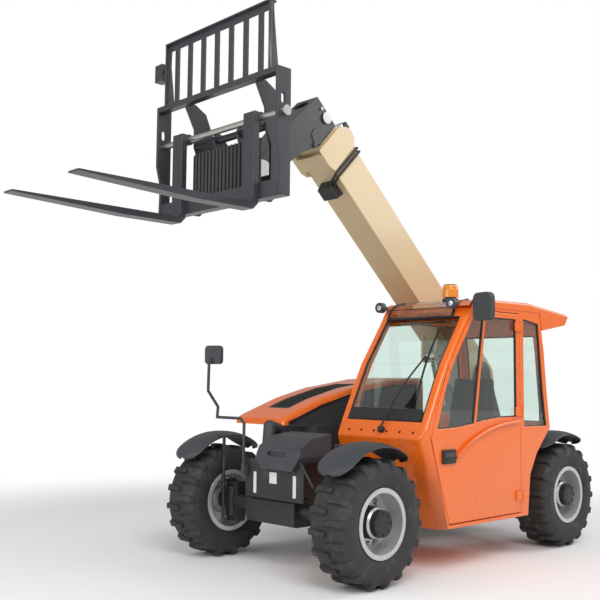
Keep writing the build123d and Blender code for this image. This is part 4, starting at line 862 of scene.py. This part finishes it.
# ---- work lamps -------------------------------------------------------------------------------
# Two round work lamps face forward from the roof: each has a black ring round a pressed metal
# reflector behind a clear cover.
lamp_radius, lamp_inset = 0.034, 0.038
bright = Paint("lamp_reflector")
bright.finish(
    bump=bright.noise(90.0, 1.0), depth=0.0012,
    Base_Color=bright.noise(12.0, 2.0).mix((0.72, 0.73, 0.74), (0.88, 0.88, 0.89)),
    Roughness=bright.noise(50.0, 2.0) * 0.08 + 0.1, Metallic=0.9,
)
lamp_low, lamp_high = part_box("work_lamps")
dish, ring = bmesh.new(), bmesh.new()
for across in (lamp_low.y + lamp_inset, lamp_high.y - lamp_inset):
    centre = Vector((lamp_high.x, across, (lamp_low.z + lamp_high.z) / 2))
    add_turned(dish, centre, (1, 0, 0), [
        (-0.012, 0), (-0.012, lamp_radius * 0.86), (-0.0025, lamp_radius * 0.88),
        (0.0000, lamp_radius * 0.55), (0.0008, 0),
    ], sides=36)
    add_turned(ring, centre, (1, 0, 0), [
        (-0.020, lamp_radius * 0.9), (0.0008, lamp_radius * 0.9), (0.0010, lamp_radius * 1.04),
        (-0.006, lamp_radius * 1.10), (-0.020, lamp_radius * 1.10), (-0.020, lamp_radius * 0.9),
    ], sides=36)
bmesh.ops.remove_doubles(ring, verts=ring.verts, dist=1e-6)
finish_form("lamp_lenses", dish, "chassis", bright)
finish_form("lamp_rings", ring, "chassis", moulded)

# ---- beacon -----------------------------------------------------------------------------------
# An amber warning beacon stands on the roof: a moulded lens with four thin ribs, clipped on a
# black plastic foot.
amber = Paint("amber_lens")
amber.finish(
    bump=amber.noise(60.0, 1.0), depth=0.0006,
    Base_Color=amber.noise(9.0, 2.0).mix((0.85, 0.26, 0.015), (0.95, 0.36, 0.03)),
    Roughness=amber.noise(40.0, 2.0) * 0.06 + 0.12, Coat_Weight=0.6, Coat_Roughness=0.05,
)
beacon_low, beacon_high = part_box("beacon")
beacon_foot = (beacon_low + beacon_high) / 2
beacon_foot.z = beacon_low.z
beacon_radius = (beacon_high.x - beacon_low.x) / 2
beacon_height = beacon_high.z - beacon_low.z
form = bmesh.new()
# columns: share of its height, share of its radius
add_turned(form, beacon_foot, (0, 0, 1), [(beacon_height * height, beacon_radius * share) for height, share in (
    (0.30, 0), (0.30, 1.0), (0.34, 1.0), (0.52, 0.99), (0.70, 0.97), (0.90, 0.93), (0.965, 0.84),
    (1.0, 0.60), (1.0, 0),
)], sides=44)
finish_form("beacon_lens", form, "chassis", amber)
form = bmesh.new()
for level in (0.46, 0.58, 0.70, 0.82):
    rib = beacon_radius * (0.995 - 0.02 * (level - 0.46) / 0.36)
    middle = beacon_height * level
    add_turned(form, beacon_foot, (0, 0, 1), [
        (middle - 0.003, rib - 0.003), (middle - 0.0015, rib), (middle + 0.0015, rib),
        (middle + 0.003, rib - 0.003), (middle - 0.003, rib - 0.003),
    ], sides=44)
bmesh.ops.remove_doubles(form, verts=form.verts, dist=1e-6)
finish_form("beacon_ribs", form, "chassis", amber)

# ---- mirrors ----------------------------------------------------------------------------------
# Each mirror is a sheet of silvered glass in a black moulded shell, and it looks back along the
# machine.
silvered = Paint("mirror_glass")
silvered.finish(
    Base_Color=silvered.noise(3.0, 1.0).mix((0.80, 0.82, 0.83), (0.86, 0.87, 0.88)),
    Roughness=silvered.noise(20.0, 1.0) * 0.02 + 0.02, Metallic=1.0,
)
mirror_border, shell_half = 0.026, 0.0235
# columns: name, the head's middle, its width, its height, its turn in degrees
for label, centre, wide, tall, turn in (
    ("left", spot(0.275, 1.059, 1.860), 0.184, 0.200, -14.0),
    ("right", spot(1.372, -0.600, 1.510), 0.150, 0.140, 12.0),
):
    lean = Matrix.Rotation(math.radians(turn), 3, "Z")
    form = bmesh.new()
    add_block(form, centre + lean @ Vector((-shell_half, 0, 0)),
              (0.004, wide - mirror_border, tall - mirror_border), lean)
    finish_form(f"mirror_glass_{label}", form, "chassis", silvered, width=0.0012)

# ---- front plate ------------------------------------------------------------------------------
# Two white enamelled reflector strips and a small blank plate are riveted to the frame's front,
# and a black steel stay runs from the nose cover down to the axle.
white = Paint("white_enamel")
white.finish(
    bump=white.noise(200.0, 2.0), depth=0.0001,
    Base_Color=white.noise(8.0, 3.0).mix((0.66, 0.66, 0.65), (0.76, 0.76, 0.75)),
    Roughness=white.noise(20.0, 2.0) * 0.1 + 0.35,
)
front_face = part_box("frame")[1].x
strip_size, blank_size = (0.0032, 0.030, 0.150), (0.0028, 0.074, 0.078)
stay_radius = 0.0095
form = bmesh.new()
# columns: across, height, how far out, size
for across, height, out, size in (
    (-0.195, 0.595, 0.0006, strip_size), (0.212, 0.595, 0.0006, strip_size),
    (-0.005, 0.640, 0.0004, blank_size),
):
    add_block(form, (front_face + out, ground.y + across, height), size)
finish_form("front_reflectors", form, "chassis", white)
# columns: across, height
stay = [
    (front_face + 0.004, ground.y + across, height)
    for across, height in ((0.252, 0.783), (0.330, 0.691), (0.400, 0.607))
]
form = bmesh.new()
add_pipe(form, stay, stay_radius, sides=10, smooth=3)
finish_form("front_stay", form, "chassis", black)

# ---- hood grille ------------------------------------------------------------------------------
# The hood's air intake is closed by a black moulded grille, with fine slats that follow the
# hood's slope.
slat_pitch, slat_margin = 0.0165, 0.022
slat_size = 0.006, 0.004


def touch(node, start, heading):
    """Where a line from a point first meets a CAD node, and which way that surface faces."""
    mesh = frame["nodes"][node].data
    points = [vert.co for vert in mesh.vertices]
    surface = BVHTree.FromPolygons(points, [face.vertices for face in mesh.polygons])
    return surface.ray_cast(Vector(start), Vector(heading).normalized())[:2]


grille_low, grille_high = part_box("hood_grille")
slat_length = grille_high.y - grille_low.y - 2 * slat_margin
across = (grille_low.y + grille_high.y) / 2
form = bmesh.new()
for index in range(int((grille_high.x - grille_low.x - 2 * slat_margin) / slat_pitch) + 1):
    along = grille_low.x + slat_margin + index * slat_pitch
    place, facing = touch("hood_grille", (along, across, grille_high.z + 0.3), (0, 0, -1))
    if place is None:
        continue
    lean = facing.to_track_quat("Z", "Y").to_matrix()
    side = lean.inverted() @ Vector((0, 1, 0))
    wide, tall = slat_size
    size = (wide, slat_length, tall) if abs(side.y) > abs(side.x) else (slat_length, wide, tall)
    add_block(form, place + facing * 0.0012, size, lean)
finish_form("hood_slats", form, "hood", seal)

# ---- boom -------------------------------------------------------------------------------------
# The boom is two welded steel boxes in cream paint, one inside the other. Plated bolts go through
# its nose's cheeks, and a round lamp looks out along it.
joints = {joint["name"]: joint for joint in frame["joints"]}
pivot = Vector(joints["boom_lift"]["pos_m"])
boom_out = Vector(joints["boom_telescope"]["axis"])
boom_up = Vector((-boom_out.z, 0, boom_out.x))

cream = Paint("cream_spray")
worn = cream.noise(7.0, 5.0).ramp(0.62, 0.9)
fresh = cream.noise(1.7, 3.0).mix((0.62, 0.475, 0.270), (0.69, 0.540, 0.320))
cream.finish(
    bump=cream.noise(230.0, 2.0), depth=0.00012,
    Base_Color=worn.mix(fresh, (0.50, 0.39, 0.24)),
    Roughness=cream.noise(11.0, 3.0) * 0.14 + 0.26, Coat_Weight=0.3, Coat_Roughness=0.1,
)
dress(coat("boom_cream", cream), cream)


def boom_spot(out, rise, beside):
    """A point of the boom: out along it from the pivot, square up from it, and to the left."""
    return pivot + boom_out * out + boom_up * rise + Vector((0, beside, 0))


cheek_face, lens_out = 0.060, 0.062
form = bmesh.new()
# columns: out along the boom, up from its pivot
for out, rise in ((2.573, 0.130), (2.514, 0.128), (2.583, -0.032), (2.517, -0.029)):
    add_turned(form, boom_spot(out, rise, cheek_face), (0, 1, 0), [
        (-0.002, 0), (-0.002, 0.017), (0.003, 0.017), (0.0032, 0.0125), (0.012, 0.0125),
        (0.0135, 0.010), (0.0135, 0),
    ], sides=6)
finish_form("boom_bolts", form, "boom", zinc, crease=25)
form = bmesh.new()
add_turned(form, sum(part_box("boom_lamp"), Vector()) / 2 + boom_out * lens_out, boom_out,
           [(-0.03, 0), (-0.03, 0.038), (0.000, 0.040), (0.004, 0.030), (0.006, 0)], sides=36)
finish_form("boom_lamp_lens", form, "boom", bright)

# ---- boom head, carriage and forks ------------------------------------------------------------
# The head, the quick hitch, the fork carriage and the forged forks are steel in dark slate paint,
# scuffed on the edges. Blank white covers close two holes in the head's side.
slate = Paint("slate_spray")
scuffed = slate.noise(24.0, 6.0, 0.7).ramp(0.66, 0.82)
fresh = slate.noise(2.0, 3.0).mix((0.023, 0.026, 0.031), (0.035, 0.039, 0.045))
slate.finish(
    bump=slate.noise(200.0, 2.0), depth=0.00015,
    Base_Color=scuffed.mix(fresh, (0.085, 0.085, 0.083)),
    Roughness=slate.noise(9.0, 4.0) * 0.2 + 0.32, Coat_Weight=0.15, Coat_Roughness=0.2,
)
dress(coat("carriage_grey", slate), slate)

head_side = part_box("boom_head")[1].y
form = bmesh.new()
# columns: out along the boom, up from its pivot, radius
for out, rise, radius in ((2.767, 0.086, 0.045), (2.848, 0.093, 0.012)):
    face = boom_spot(out, rise, 0)
    face.y = head_side
    add_turned(form, face, (0, 1, 0), [
        (-0.002, 0), (-0.002, radius), (0.0015, radius), (0.0025, radius - 0.002), (0.0025, 0),
    ], sides=36)
finish_form("head_covers", form, "telescope", white)

# ---- pins and lift rod ------------------------------------------------------------------------
# The fork shaft and the pins are turned steel, zinc plated. The lift cylinder's rod is ground and
# polished hard chrome.
dress(coat("zinc", zinc), zinc)
chrome = Paint("hard_chrome")
chrome.finish(
    Base_Color=chrome.noise(5.0, 2.0).mix((0.76, 0.76, 0.77), (0.84, 0.84, 0.85)),
    Roughness=chrome.noise(50.0, 2.0) * 0.05 + 0.05, Metallic=1.0,
)
dress(coat("chrome", chrome), chrome)

# ---- tail lamps -------------------------------------------------------------------------------
# A lamp cluster is screwed to each side of the counterweight: a black shell with a moulded red
# lens for stop and tail, and an amber one for turning.
red = Paint("red_lens")
red.finish(
    bump=red.noise(80.0, 1.0), depth=0.0006,
    Base_Color=red.noise(9.0, 2.0).mix((0.42, 0.012, 0.010), (0.52, 0.02, 0.016)),
    Roughness=red.noise(40.0, 2.0) * 0.05 + 0.14, Coat_Weight=0.5, Coat_Roughness=0.05,
)
weight_low, weight_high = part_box("counterweight")
for label, side in (("left", 1), ("right", -1)):
    across = (weight_low.y + weight_high.y) / 2 + side * 0.290
    start = (weight_low.x - 0.5, across, weight_high.z - 0.085)
    centre = touch("counterweight", start, (1, 0, 0))[0] - Vector((0.004, 0, 0))
    # columns: name, how far outwards, how far back, size, finish
    for kind, beside, back, size, paint in (
        ("shell", 0.0, 0.0, (0.0115, 0.170, 0.090), seal),
        ("stop", -0.038, 0.0015, (0.0110, 0.082, 0.076), red),
        ("turn", 0.044, 0.0015, (0.0110, 0.066, 0.076), amber),
    ):
        form = bmesh.new()
        add_block(form, centre + Vector((-back, side * beside, 0)), size)
        finish_form(f"tail_{kind}_{label}", form, "chassis", paint, width=0.002)
